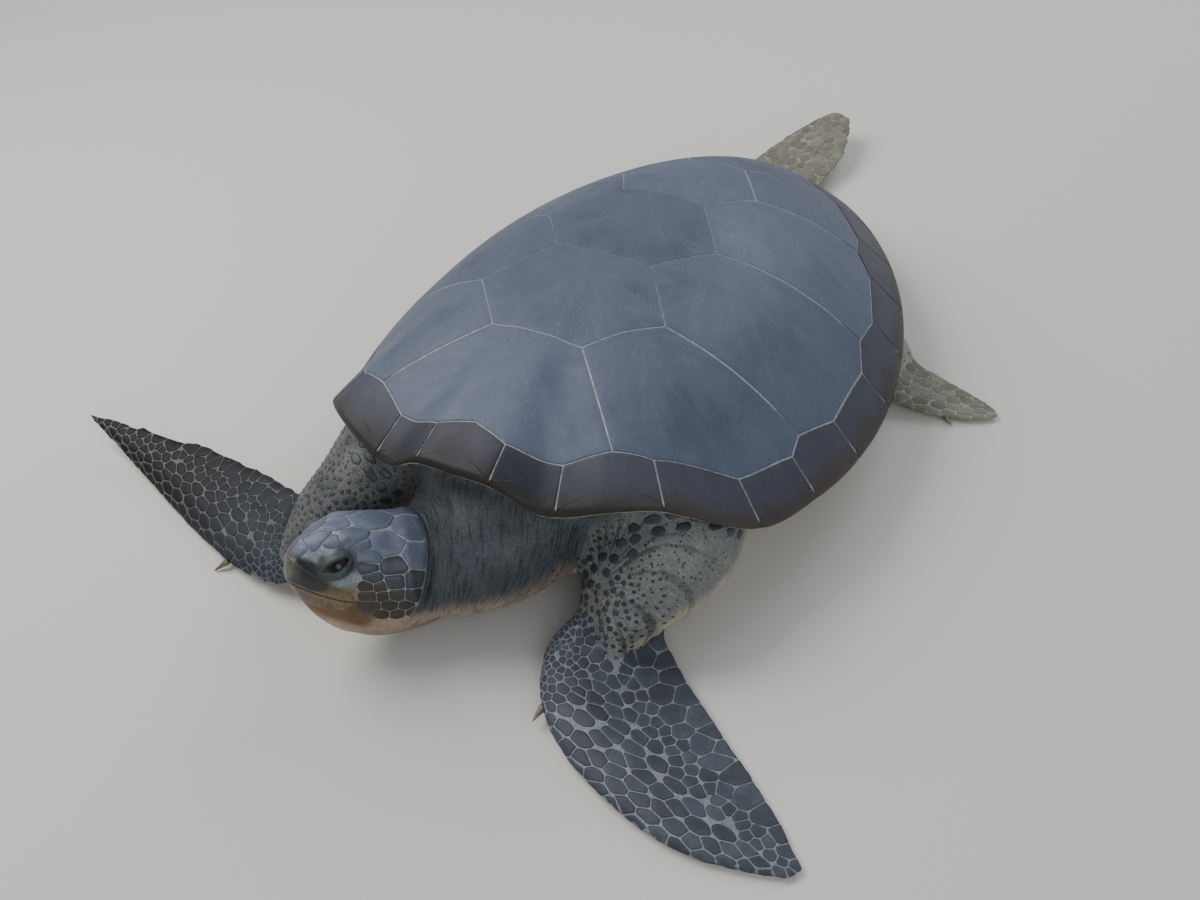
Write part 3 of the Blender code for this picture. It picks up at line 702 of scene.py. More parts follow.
headLook = {
    "base": (-0.071, -0.502, 0.045),
    "turn": -36.0,
    "lift": 31.5,
    "tilt": 8.0,
    "length": 0.222,
    "axisHeight": 0.030,
    "mouthHeight": 0.013,
    "mouthRear": 0.54,
    "mouthDepth": 0.0026,
    "mouthWidth": 0.0019,
    "lipDrop": 0.0020,
    "skullPower": 2.2,
    "collarWidth": 0.0042,
    # place along, across and height of a nostril, and its size in the same order
    "nostrilAt": (0.965, 0.0085, 0.062),
    "nostrilSpread": (0.0030, 0.0028, 0.0034),
    # depth and spacing of the folds round the eye, and the least room between lid and eyeball
    "lidFolds": (0.00035, 0.0034),
    "lidRoom": 0.0014,
    "collar": 0.216,
    "collarDepth": 0.0045,
    "skullHalf": 0.0765,
    "skullTop": 0.090,
    "skullFoot": 0.098,
    "eyeRadius": 0.0195,
    "eyeAxis": (0.86, -0.36, 0.25),
    "eyeSlant": 38.0,
    "eyeHalfLength": 0.0205,
    "eyeLow": -0.0022,
    "eyeUpper": 0.0062,
    "eyeLower": 0.0060,
    # height of the lid over the eyeball against the distance outside its rim
    "lidProfile": ((-0.0016, -0.0034), (-0.0003, -0.0026), (0.0005, 0.0011), (0.0024, 0.0026),
                   (0.0060, 0.0030), (0.012, 0.0016)),
    # raised or sunken places: along the head, half across, height, depth, spread along, across and up
    "swells": ((0.69, 0.034, 0.094, 0.0042, 0.022, 0.012, 0.010),
               (0.87, 0.030, 0.058, -0.0032, 0.012, 0.014, 0.014),
               (0.32, 0.078, 0.045, 0.0030, 0.030, 0.030, 0.026),
               (0.60, 0.060, 0.036, -0.0022, 0.014, 0.020, 0.010),
               (0.965, 0.0085, 0.062, -0.0032, 0.0030, 0.0026, 0.0030)),
}
headPose = Matrix.Translation(headLook["base"]) @ Matrix.Rotation(radians(headLook["turn"]), 4, "Z")
headPose = headPose @ Matrix.Rotation(radians(-headLook["lift"]), 4, "X")
headPose = headPose @ Matrix.Rotation(radians(-headLook["tilt"]), 4, "Y")
headTurn = np.array(headPose.to_3x3())
headBase = np.array(headPose.translation)
eyeCentres = {}
for side in ("left", "right"):
    low, high = (np.array(v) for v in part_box(f"eye_{side}"))
    eyeCentres[side] = (low + high) / 2


def toHead(points):
    # the head's own axes: x to its left, y backward, z up
    return (np.asarray(points) - headBase) @ headTurn


def alongHead(local):
    # 0 at the back of the head, 1 at the snout
    return -local[:, 1] / headLook["length"]


def turnRound(local):
    # degrees down from the crown, the same on both sides
    return np.degrees(np.arctan2(np.abs(local[:, 0]), local[:, 2] - headLook["axisHeight"]))


def fromHead(points):
    return np.asarray(points) @ headTurn.T + headBase


skinLook = {
    "voxel": 0.0055,
    "swell": 0.0006,
    "inset": 0.0010,
    "passes": 40,
    "smoothing": {"head": 0.35, "lower_jaw": 0.35, "neck": 0.9, "trunk": 1.0, "tail": 0.8, "upper_arm": 0.9,
                  "front_flipper": 0.2, "thigh": 0.9, "hind_flipper": 0.2},
    # the trunk is left open where the shell covers it, down to this depth and out to this reach
    "hiddenDepth": 0.022,
    "hiddenReach": 0.93,
    # the part of the trunk that the plastron covers: power and share of its outline, and height over it
    "footPower": 2.2,
    "footShare": 0.75,
    "footRise": 0.012,
    # where the skin's mesh is made finer: share of the fine nodes, reach round the eyes, band and rear
    # end of the lips, and rear end, half width, height and band of the nostrils
    "fineShare": 0.25,
    "fineEye": 0.030,
    "fineLips": (0.007, 0.42),
    "fineNostrils": (0.90, 0.018, 0.060, 0.012),
    "elbow": (0.182, -0.443, 0.090),
    "neckFoldSpan": (-0.20, -0.32),
    "elbowFoldSpan": (0.24, 0.08),
}
fleshNodes = sorted(n for n in nodes if n.startswith(tuple(skinLook["smoothing"])))
flesh = {name: place for place, name in enumerate(fleshNodes)}


def mergedForm(node, swell):
    form = bmesh.new()
    form.from_mesh(nodes[node].data)
    bmesh.ops.remove_doubles(form, verts=form.verts, dist=1e-5)
    form.verts.index_update()
    form.normal_update()
    points = [tuple(v.co + v.normal * swell) for v in form.verts]
    faces = [[v.index for v in face.verts] for face in form.faces]
    form.free()
    return points, faces


def gathered(names, swell):
    points, faces, labels = [], [], []
    for label, node in enumerate(names):
        some, around = mergedForm(node, swell)
        faces += [[i + len(points) for i in face] for face in around]
        labels += [label] * len(around)
        points += some
    return points, faces, labels


bareFlesh = gathered(fleshNodes, 0.0)
fleshTree = BVHTree.FromPolygons(bareFlesh[0], bareFlesh[1])
fleshLabels = bareFlesh[2]


def voxelUnion(points, faces, size):
    item = makeObject("union", makeMesh("union", points, faces))
    step = item.modifiers.new("voxels", "REMESH")
    step.mode = "VOXEL"
    step.voxel_size = size
    mesh = bpy.data.meshes.new_from_object(item.evaluated_get(bpy.context.evaluated_depsgraph_get()))
    bpy.data.objects.remove(item)
    return mesh


def soundUnion(points, faces, size):
    # the voxel grid can lose a thin limb by chance: try again a little finer until the whole box is there
    wanted = np.concatenate((np.min(points, 0), np.max(points, 0)))
    for _ in range(5):
        mesh = voxelUnion(points, faces, size)
        places = pointsOf(mesh)
        if np.abs(np.concatenate((places.min(0), places.max(0))) - wanted).max() < 0.010:
            break
        size *= 0.985
    return mesh


def averaged(values, edges):
    a, b = edges[:, 0], edges[:, 1]
    size = len(values)
    count = np.maximum(np.bincount(a, minlength=size) + np.bincount(b, minlength=size), 1)
    columns = range(values.shape[1])
    total = [np.bincount(a, values[b, k], size) + np.bincount(b, values[a, k], size) for k in columns]
    return np.stack(total, 1) / count[:, None]


def relaxed(values, edges, weight, passes):
    weight = np.broadcast_to(np.asarray(weight, float), len(values))[:, None]
    for _ in range(passes):
        values = values + weight * (averaged(values, edges) - values)
    return values


def regionShares(points, edges, passes):
    # how much each vertex belongs to each node of flesh, blended over the borders
    found = [fleshTree.find_nearest(Vector(p))[2] for p in points]
    shares = np.zeros((len(points), len(fleshNodes)))
    shares[np.arange(len(points)), [fleshLabels[i] for i in found]] = 1.0
    return relaxed(shares, edges, 0.6, passes)


def shareOf(shares, *kinds):
    columns = [flesh[n] for n in fleshNodes if n.startswith(kinds)]
    return shares[:, columns].sum(1)


def hiddenByShell(points, shares):
    x, y, z = points.T
    trunk = shareOf(shares, "trunk") > 0.95
    reach = domeReach(x, y)
    depth = domeHeight(x, y) - z
    above = (reach < skinLook["hiddenReach"]) & (depth < skinLook["hiddenDepth"]) & (depth > 0)
    low, high = (np.array(v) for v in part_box("plastron"))
    middle, half = (low + high) / 2, (high - low) / 2
    power = skinLook["footPower"]
    foot = np.abs((x - middle[0]) / half[0]) ** power + np.abs((y - middle[1]) / half[1]) ** power
    inPlastron = (foot < skinLook["footShare"]) & (z < high[2] + skinLook["footRise"])
    return trunk & (above | inPlastron)


def refine(form, chosen):
    edges = [e for e in form.edges if e.verts[0] in chosen and e.verts[1] in chosen]
    bmesh.ops.subdivide_edges(form, edges=edges, cuts=1, use_grid_fill=True)
    form.verts.index_update()
    form.verts.ensure_lookup_table()


def refinedSkin(mesh, hidden, fine):
    form = bmesh.new()
    form.from_mesh(mesh)
    form.verts.ensure_lookup_table()
    gone = [f for f in form.faces if all(hidden[v.index] for v in f.verts)]
    chosen = {v for v in form.verts if fine[v.index] > skinLook["fineShare"]}
    bmesh.ops.delete(form, geom=gone, context="FACES")
    refine(form, {v for v in chosen if v.is_valid})
    for side in eyeCentres:
        centre = Vector(eyeCentres[side])
        refine(form, {v for v in form.verts if (v.co - centre).length < skinLook["fineEye"]})
    local = toHead([v.co for v in form.verts])
    along = alongHead(local)
    band, rear = skinLook["fineLips"]
    lips = (np.abs(local[:, 2] - mouthLine(along)) < band) & (along > rear)
    rear, across, middle, band = skinLook["fineNostrils"]
    nostrils = (along > rear) & (np.abs(local[:, 0]) < across) & (np.abs(local[:, 2] - middle) < band)
    refine(form, {v for v in form.verts if (lips | nostrils)[v.index]})
    bmesh.ops.holes_fill(form, edges=[e for e in form.edges if e.is_boundary], sides=0)
    bmesh.ops.triangulate(form, faces=[f for f in form.faces if len(f.verts) > 4])
    if form.calc_volume(signed=True) < 0:
        bmesh.ops.reverse_faces(form, faces=form.faces)
    form.to_mesh(mesh)
    form.free()
    mesh.shade_smooth()
    return mesh


def mouthLine(along):
    # the gape rises a little at the corner and dips behind the hooked tip
    line = headLook["mouthHeight"] + 0.004 * smoothStep(0.68, 0.53, along)
    return line - 0.003 * smoothStep(0.92, 0.99, along)


def gape(along):
    # how far the mouth line has begun, from its corner to the front
    return smoothStep(headLook["mouthRear"], headLook["mouthRear"] + 0.05, along)


def sculptHead(points, normals, shares):
    local = toHead(points)
    along = alongHead(local)
    x, z = local[:, 0], local[:, 2]
    head = np.clip(shareOf(shares, "head", "lower_jaw") * 1.4, 0, 1)
    rise = np.zeros(len(points))
    for place, across, height, depth, spreadY, spreadX, spreadZ in headLook["swells"]:
        far = ((along - place) * headLook["length"] / spreadY) ** 2
        far += ((np.abs(x) - across) / spreadX) ** 2 + ((z - height) / spreadZ) ** 2
        rise += depth * np.exp(-far)
    line = mouthLine(along)
    rise -= headLook["mouthDepth"] * np.exp(-((z - line) / headLook["mouthWidth"]) ** 2) * gape(along)
    lowerLip = smoothStep(line, line - 0.006, z) * smoothStep(0.50, 0.70, along) * smoothStep(-0.04, 0.0, z)
    rise -= headLook["lipDrop"] * lowerLip
    turn = turnRound(local)
    neckSide = shareOf(shares, "head", "neck")
    # the nape stays behind the skull
    up = z - headLook["axisHeight"]
    halfHeight = np.where(up > 0, headLook["skullTop"], headLook["skullFoot"])
    power = headLook["skullPower"]
    ratio = ((np.abs(x) / headLook["skullHalf"]) ** power + (np.abs(up) / halfHeight) ** power) ** (1 / power)
    fit = smoothStep(headLook["collar"] - 0.07, headLook["collar"] - 0.005, along)
    fit *= smoothStep(0.9, 0.7, along)
    fit *= smoothStep(0.5, 0.9, neckSide) * smoothStep(120, 100, turn)
    pull = 1 + (1 / np.maximum(ratio, 1) - 1) * fit
    local[:, 0] *= pull
    local[:, 2] = headLook["axisHeight"] + up * pull
    points = fromHead(local)
    fromCollar = (along - headLook["collar"]) * headLook["length"]
    ring = np.exp(-(fromCollar / headLook["collarWidth"]) ** 2)
    points = points + normals * (rise * head)[:, None]
    return points - normals * (headLook["collarDepth"] * ring * neckSide * smoothStep(125, 95, turn))[:, None]


def eyeFrame(side):
    sign = 1 if side == "left" else -1
    axis = np.array(headLook["eyeAxis"]) * (sign, 1, 1)
    axis /= np.linalg.norm(axis)
    slant = radians(headLook["eyeSlant"])
    front = np.array((0.0, -cos(slant), -sin(slant)))
    front -= axis * (front @ axis)
    front /= np.linalg.norm(front)
    upward = np.cross(front, axis) * -sign
    return toHead(eyeCentres[side]), axis, front, upward


def lidPlace(local, side):
    # distance outside the lid rim along the eyeball, distance and direction from its centre, and facing
    centre, axis, front, upward = eyeFrame(side)
    away = local - centre
    reach = np.linalg.norm(away, axis=1)
    ray = away / np.maximum(reach, 1e-6)[:, None]
    radius = headLook["eyeRadius"]
    s = np.arcsin(np.clip(ray @ front, -1, 1)) * radius
    q = np.arcsin(np.clip(ray @ upward, -1, 1)) * radius - headLook["eyeLow"]
    half = headLook["eyeHalfLength"]
    arch = 1 - np.clip(s / half, -1, 1) ** 2
    out = np.maximum(q - headLook["eyeUpper"] * arch, -headLook["eyeLower"] * arch - q)
    beyond = np.maximum(np.abs(s) - half, 0)
    out = np.where(beyond > 0, np.hypot(np.maximum(out, 0), beyond), out)
    return out, reach, ray, ray @ axis


def shapeLids(points):
    local = toHead(points)
    for side in eyeCentres:
        out, reach, ray, facing = lidPlace(local, side)
        depth, spacing = headLook["lidFolds"]
        wrinkle = depth * np.cos(out * 2 * pi / spacing) * smoothStep(0.0005, 0.002, out)
        target = headLook["eyeRadius"] + wrinkle + np.interp(out, *zip(*headLook["lidProfile"]))
        share = (1 - smoothStep(0.005, 0.013, out)) * smoothStep(0.05, 0.30, facing)
        share *= smoothStep(0.040, 0.030, reach)
        moved = reach + (target - reach) * share
        covered = (out > 0.0008) & (facing > -0.3) & (reach < headLook["eyeRadius"] + 0.006)
        moved = np.where(covered, np.maximum(moved, headLook["eyeRadius"] + headLook["lidRoom"]), moved)
        local = local + ray * (moved - reach)[:, None]
    return fromHead(local)


def noiseAt(points, scale, seed=0.0):
    return np.array([noise.noise(Vector((p[0] * scale + seed, p[1] * scale, p[2] * scale))) for p in points])


skinColours = {
    "headSeam": (0.210, 0.238, 0.262),
    "lid": (0.050, 0.058, 0.060),
    "cheek": (0.185, 0.165, 0.120),
    "tan": (0.150, 0.094, 0.044),
    "jaw": (0.122, 0.070, 0.024),
    "beak": (0.110, 0.088, 0.056),
    "nostrils": (0.013, 0.014, 0.014),
    "throat": (0.300, 0.215, 0.160),
    # near black, for the groove at the collar and the groove of the mouth: painted shade
    "collar": (0.022, 0.027, 0.032),
    "neck": (0.046, 0.054, 0.061),
    "neckLow": (0.300, 0.235, 0.175),
    "shoulder": (0.152, 0.158, 0.148),
    "shoulderLow": (0.250, 0.215, 0.165),
    "blade": (0.165, 0.185, 0.205),
    "hind": (0.250, 0.245, 0.210),
    "tail": (0.170, 0.168, 0.145),
    "trunk": (0.340, 0.290, 0.190),
    "trunkFront": (0.085, 0.095, 0.108),
    "under": (0.420, 0.370, 0.270),
}


def darkPatch(local, along, top):
    # the dark side of the bill, below and in front of the eye
    ragged = noiseAt(local, 60.0, 3.0)
    patch = smoothStep(0.755, 0.80, along + 0.03 * ragged) * smoothStep(0.965, 0.94, along)
    patch *= smoothStep(top, top - 0.010, local[:, 2] + 0.004 * ragged)
    return patch * smoothStep(0.002, 0.007, local[:, 2] - mouthLine(along) + 0.004 * ragged)


def headTint(c, local, fine, cloud):
    along, turn, height = alongHead(local), turnRound(local), local[:, 2]
    cheek = smoothStep(70, 92, turn + 10 * cloud) * smoothStep(0.2, 0.5, along)
    throat = smoothStep(104, 116, turn + 6 * cloud) * smoothStep(0.55, 0.40, along)
    tan = smoothStep(78, 92, turn + 8 * cloud) * smoothStep(0.56, 0.66, along + 0.03 * fine)
    head = mixRows(mixRows(mixRows(c["headSeam"], c["cheek"], cheek), c["throat"], throat), c["tan"], tan)
    jaw = smoothStep(0.002, -0.002, height - mouthLine(along)) * smoothStep(0.42, 0.50, along)
    head = mixRows(head, c["jaw"], jaw)
    head = mixRows(head, c["beak"], smoothStep(0.945, 0.965, along) * smoothStep(0.062, 0.052, height))
    head = mixRows(head, c["nostrils"], darkPatch(local, along, 0.062) * (1 - jaw))
    chin = 1 - 0.6 * smoothStep(0.60, 0.80, along)
    head = mixRows(head, c["throat"], chin * smoothStep(-0.018, -0.034, height + 0.006 * cloud))
    for side in eyeCentres:
        out, reach, _, facing = lidPlace(local, side)
        near = smoothStep(0.018, 0.011, out) * smoothStep(0.0, 0.2, facing) * smoothStep(0.042, 0.034, reach)
        head = mixRows(head, c["lid"], near)
        # painted shade: the lid's edge darker still where it meets the eyeball
        head = mixRows(head, c["lid"] * 0.35, near * smoothStep(0.0022, 0.0004, out))
    # painted shade: the nostrils' hollows darkened almost to black
    place, across, level = headLook["nostrilAt"]
    long, wide, high = headLook["nostrilSpread"]
    holes = sum(np.exp(-(((along - place) * headLook["length"] / long) ** 2
                         + ((local[:, 0] - middle) / wide) ** 2 + ((height - level) / high) ** 2))
                for middle in (-across, across))
    return mixRows(head, c["nostrils"] * 0.3, np.clip(1.6 * holes, 0, 1))


def skinTint(points, normals, shares):
    c = {name: np.array(colour) for name, colour in skinColours.items()}
    local = toHead(points)
    along, turn, up = alongHead(local), turnRound(local), normals[:, 2]
    y, z = points[:, 1], points[:, 2]
    cloud, fine = noiseAt(points, 22.0), noiseAt(points, 70.0, 9.0)
    down = smoothStep(0.10, -0.55, up + 0.12 * cloud)
    low = smoothStep(0.105, 0.060, z + 0.012 * cloud)
    neck = mixRows(c["neck"], c["neckLow"], np.maximum(low * smoothStep(0.4, -0.1, up), down))
    side = smoothStep(0.70, 0.20, up) * smoothStep(-0.47, -0.39, y)
    arm = mixRows(c["shoulder"], c["shoulderLow"], side * smoothStep(0.080, 0.045, z + 0.014 * cloud))
    # painted shade: the right arm darkened here, and the right blade on the next lines
    arm = mixRows(arm, c["under"], down) * (1 - 0.35 * shareOf(shares, "upper_arm_right"))[:, None]
    shade = 1 - 0.50 * shareOf(shares, "front_flipper_right")
    blade = mixRows(c["blade"] * shade[:, None], c["under"], down)
    trunk = mixRows(c["trunkFront"], c["trunk"], smoothStep(-0.33, -0.22, y + 0.03 * cloud))
    # head and neck meet at the collar, and under it the throat runs on
    head = headTint(c, local, fine, cloud)
    throat = turn > 125
    collar = headLook["collar"]
    skull = smoothStep(collar - 0.02, collar + 0.02, along) * (1 - throat)
    neck = mixRows(neck, head, skull)
    head = mixRows(neck, head, np.maximum(skull, throat))
    # painted shade: a dark line in the groove of the mouth
    line = np.exp(-((local[:, 2] - mouthLine(along)) / 0.0013) ** 2) * gape(along)
    head = mixRows(head, c["collar"], 0.9 * line)
    result = np.zeros((len(points), 3))
    for colours, kinds in ((head, ("head", "lower_jaw")), (neck, ("neck",)), (arm, ("upper_arm",)),
                           (blade, ("front_flipper",)),
                           (mixRows(c["hind"], c["under"], down), ("thigh", "hind_flipper")),
                           (trunk, ("trunk",)),
                           (mixRows(c["tail"], c["under"], down), ("tail",))):
        result += colours * shareOf(shares, *kinds)[:, None]
    # painted shade: a dark ring in the groove at the collar
    ring = np.exp(-((along - collar) * headLook["length"] / 0.0035) ** 2) * smoothStep(130, 100, turn)
    return mixRows(result, c["collar"], 0.85 * ring * shareOf(shares, "head", "neck"))


def skinMaterial():
    material = newShader("skin", 0.5, coat=0.03, specular=0.35)
    w = Wiring(material)
    red, green, blue = w.channels(w.attribute("Mask"))
    tint = w.attribute("Tint")
    neckPlace, elbowPlace = w.attribute("NeckPlace", "Vector"), w.attribute("ElbowPlace", "Vector")
    neckFolds = w.noise(1.0, detail=3, roughness=0.5, stretch=(30, 330, 30), vector=neckPlace)
    armFolds = w.noise(1.0, detail=3, roughness=0.5, stretch=(11, 11, 14), vector=elbowPlace)
    neckCrease = w.times(w.ramp(neckFolds, ((0.36, 0.75), (0.50, 0.0))), red)
    armCrease = w.times(w.ramp(armFolds, ((0.36, 1.0), (0.50, 0.0))), green)
    pebbles = w.cells(240.0)
    clouds = w.noise(30.0, detail=6, roughness=0.65)
    colour = w.shaded(w.ramp(clouds, ((0.38, 0.0), (0.66, 0.8))), tint, (1.45, 1.42, 1.38))
    # painted shade: darker in the grooves between the pebbles
    colour = w.shaded(w.times(w.ramp(pebbles, ((0.25, 0.0), (0.62, 0.55))), blue), colour, (0.55, 0.56, 0.60))
    # painted shade: the creases of the neck and elbow folds darkened
    creaseShade = w.mix(1.0, colour, (0.34, 0.35, 0.38), "MULTIPLY")
    colour = w.mix(neckCrease, colour, creaseShade)
    colour = w.mix(w.times(armCrease, 0.75), colour, creaseShade)
    spots = w.ramp(w.cells(68.0, spread=0.75), ((0.15, 1.0), (0.22, 0.0)))
    colour = w.mix(w.times(spots, w.attribute("Spots", "Fac")), colour, (0.020, 0.024, 0.030))
    dots = w.ramp(w.cells(125.0, spread=0.8), ((0.17, 1.0), (0.25, 0.0)))
    colour = w.mix(w.times(dots, w.attribute("Dots", "Fac")), colour, (0.020, 0.024, 0.030))
    normal = w.bump(w.times(pebbles, blue), 0.55, -0.0009)
    normal = w.bump(w.times(neckFolds, red), 0.7, 0.0030, below=normal)
    normal = w.bump(w.times(armFolds, green), 0.6, 0.0036, below=normal)
    w.finish(colour, w.ranged(w.noise(40.0), 0.40, 0.62), normal)
    return material


def unionSkin():
    # one closed surface over all the flesh, relaxed and drawn in, with the shares of each node
    points, faces, _ = gathered(fleshNodes + ["eye_left", "eye_right"], skinLook["swell"])
    mesh = soundUnion(points, faces, skinLook["voxel"])
    points, edges = pointsOf(mesh), edgesOf(mesh)
    shares = regionShares(points, edges, 10)
    weight = sum(shareOf(shares, kind) * amount for kind, amount in skinLook["smoothing"].items())
    border = 1 - (shares ** 2).sum(1)
    weight = np.clip(weight + border * 1.2, 0, 1)
    setPoints(mesh, relaxed(points, edges, weight, skinLook["passes"]))
    points = pointsOf(mesh) - normalsOf(mesh) * skinLook["inset"]
    setPoints(mesh, points)
    fine = shareOf(shares, "head", "lower_jaw") + shareOf(shares, "neck") * (points[:, 1] < -0.46)
    mesh = refinedSkin(mesh, hiddenByShell(points, shares), fine)
    edges = edgesOf(mesh)
    points = relaxed(pointsOf(mesh), edges, 0.5, 2)
    setPoints(mesh, points)
    return mesh, points, regionShares(points, edges, 8)


def markSkin(mesh, points, normals, shares):
    # attributes that tell the material where folds, pebbles, spots and dots are
    local = toHead(points)
    along, collar = alongHead(local), headLook["collar"]
    neck = shareOf(shares, "neck", "trunk", "head") * smoothStep(collar, collar - 0.03, along)
    neck *= smoothStep(*skinLook["neckFoldSpan"], points[:, 1])
    away = points - np.array(skinLook["elbow"])
    reach = np.hypot(away[:, 0], away[:, 1])
    arm = shareOf(shares, "upper_arm_left") * smoothStep(*skinLook["elbowFoldSpan"], reach)
    arm = arm * smoothStep(0.004, 0.035, reach)
    otherArm = shareOf(shares, "upper_arm_right") * 0.6
    pebbled = 1 - 0.9 * shareOf(shares, "lower_jaw") * (along > 0.6)
    paint(mesh, np.stack((neck, np.maximum(arm, otherArm), pebbled), 1), "Mask")
    # the folds circle the neck, and still do so where it swells behind the skull
    folds = local.copy()
    folds[:, 1] += 0.7 * np.minimum(np.hypot(local[:, 0], local[:, 2] - headLook["axisHeight"]), 0.13)
    addVectors(mesh, "NeckPlace", folds)
    turned = np.stack((away[:, 0], away[:, 1], reach * reach), 1) / np.maximum(reach, 0.004)[:, None]
    addVectors(mesh, "ElbowPlace", turned)
    top = smoothStep(-0.1, 0.3, normals[:, 2])
    spotted = shareOf(shares, "thigh", "tail") * top
    spotted = spotted + shareOf(shares, "neck") * smoothStep(-0.10, -0.35, along)
    for name, share in (("Spots", spotted), ("Dots", shareOf(shares, "upper_arm") * top)):
        layer = mesh.attributes.new(name, "FLOAT", "POINT")
        layer.data.foreach_set("value", np.clip(share * 0.95, 0, 1).astype(np.float32))


def buildSkin():
    mesh, points, shares = unionSkin()
    points = shapeLids(sculptHead(points, normalsOf(mesh), shares))
    setPoints(mesh, points)
    normals = normalsOf(mesh)
    paint(mesh, skinTint(points, normals, shares))
    markSkin(mesh, points, normals, shares)
    skin = makeObject("skin", mesh, skinMaterial())
    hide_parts(*fleshNodes)
    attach(skin, "root")
    return skin


skin = buildSkin()
skinTree = BVHTree.FromObject(skin, bpy.context.evaluated_depsgraph_get())
print("skin ready:", len(skin.data.polygons), "faces")


eyeLook = {
    # angles from the middle of the pupil, in radians
    "pupilSpan": (0.34, 0.46),
    "rimSpan": (0.75, 0.95),
    "pupil": (0.003, 0.003, 0.003),
    "iris": (0.014, 0.009, 0.006),
    "rim": (0.010, 0.009, 0.009),
    "coatRoughness": 0.12,
    "segments": 48,
    "rings": 32,
}


def eyeball(name, radius):
    # rings from the top to the bottom, closed at the two poles
    around = np.linspace(0, 2 * pi, eyeLook["segments"], endpoint=False)
    rings = []
    for t in np.linspace(0, pi, eyeLook["rings"] + 1)[1:-1]:
        level = np.full(len(around), cos(t))
        rings.append(radius * np.column_stack((sin(t) * np.cos(around), sin(t) * np.sin(around), level)))
    mesh = ringMesh(name, rings)
    points = pointsOf(mesh)
    points[-2:] = ((0, 0, radius), (0, 0, -radius))
    setPoints(mesh, points)
    return mesh


def buildEyes():
    material = newShader("eyes", 0.22, coat=0.25, specular=0.2)
    w = Wiring(material)
    w.shader.inputs["Coat Roughness"].default_value = eyeLook["coatRoughness"]
    w.finish(w.attribute("Tint"))
    for side in eyeCentres:
        mesh = eyeball(f"eyeball_{side}", headLook["eyeRadius"])
        points = pointsOf(mesh)
        _, axis, _, _ = eyeFrame(side)
        facing = (points / headLook["eyeRadius"]) @ (headTurn @ axis)
        angle = np.arccos(np.clip(facing, -1, 1))
        colours = mixRows(eyeLook["pupil"], eyeLook["iris"], smoothStep(*eyeLook["pupilSpan"], angle))
        colours = mixRows(colours, eyeLook["rim"], smoothStep(*eyeLook["rimSpan"], angle))
        setPoints(mesh, points + eyeCentres[side])
        paint(mesh, colours)
        eye = makeObject(f"eyeball_{side}", mesh, material)
        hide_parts(f"eye_{side}")
        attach(eye, "root")


buildEyes()
print("eyes ready")


skinLow, skinHigh = (np.array(v) for v in cadBox)
patchHalf = 0.0015  # half a scale's patch on its OFBake map


def onSkin(place, normal, reach=0.014):
    hit, facing, _, _ = skinTree.ray_cast(Vector(place + normal * reach), Vector(-normal), reach * 2.4)
    if hit is None:
        hit, facing, _, _ = skinTree.find_nearest(Vector(place))
    return np.array(hit), np.array(facing)


def skinMap(place, normal):
    # an unwrap of the body in six tiles, one for each side it can face, each with a margin
    axis = int(np.argmax(np.abs(normal)))
    share = (place - skinLow) / (skinHigh - skinLow)
    first, second = (share[i] for i in range(3) if i != axis)
    row = 0 if normal[axis] > 0 else 1
    return (axis + 0.04 + 0.92 * first) / 3, (row + 0.04 + 0.92 * second) / 2


def clipped(outline, anchor, direction):
    # the part of a convex outline on the near side of a line
    result = []
    sides = [(p - anchor) @ direction for p in outline]
    for i, (p, side) in enumerate(zip(outline, sides)):
        nextSide = sides[(i + 1) % len(outline)]
        if side <= 0:
            result.append(p)
        if (side < 0 < nextSide) or (nextSide < 0 < side):
            result.append(p + (outline[(i + 1) % len(outline)] - p) * (side / (side - nextSide)))
    return result


def rounded(outline, spacing):
    points = []
    for a, b in zip(outline, outline[1:] + outline[:1]):
        points += [a * 0.86 + b * 0.14, a * 0.14 + b * 0.86]
    result = []
    for a, b in zip(points, points[1:] + points[:1]):
        count = max(int(np.hypot(*(b - a)) / spacing + 0.5), 1)
        result += [a + (b - a) * k / count for k in range(count)]
    return result


def scaleOutline(i, seeds, gap, growth, corners, spacing):
    keys = ("place", "normal", "run", "size", "stretch")
    place, normal, run, size, stretch = (seeds[key][i] for key in keys)
    across = np.cross(normal, run)
    frame = np.stack((run, across))
    turns = [2 * pi * k / corners for k in range(corners)]
    outline = [np.array((cos(a) * stretch, sin(a))) * size * growth for a in turns]
    away = seeds["place"] - place
    reach = np.linalg.norm(away, axis=1)
    limit = (size * stretch + seeds["size"] * seeds["stretch"]) * growth
    near = np.nonzero((reach < limit) & (reach > 1e-6) & (seeds["normal"] @ normal > 0.15))[0]
    for j in near:
        share = size / (size + seeds["size"][j])
        border = onSkin(place + away[j] * share, normal)[0]
        flat = frame @ away[j]
        lean = (stretch + seeds["stretch"][j]) / 2
        direction = np.array((flat[0] / lean ** 2, flat[1]))
        direction /= np.linalg.norm(direction) + 1e-9
        outline = clipped(outline, frame @ (border - place) - direction * gap / 2, direction)
        if len(outline) < 3:
            return [], frame
    middle = sum(outline) / len(outline)
    if min(np.hypot(*(p - middle)) for p in outline) < gap:
        return [], frame
    return rounded(outline, spacing), frame


def roomBelow(point, normal):
    # how thick the flesh is under a point, so that a scale's foot stays inside a thin blade
    distance = skinTree.ray_cast(Vector(point - normal * 0.0001), Vector(-normal), 0.05)[3]
    return 0.05 if distance is None else distance


def scaleFaces(start, count, rings):
    # quads between the rings, then fans to the two points that close them above and below
    turns = [(k, (k + 1) % count) for k in range(count)]
    faces = []
    for a in range(start, start + (rings - 1) * count, count):
        faces += [(a + k, a + after, a + count + after, a + count + k) for k, after in turns]
    last, top = start + (rings - 1) * count, start + rings * count
    faces += [(last + k, last + after, top) for k, after in turns]
    faces += [(start + after, start + k, top + 1) for k, after in turns]
    return faces


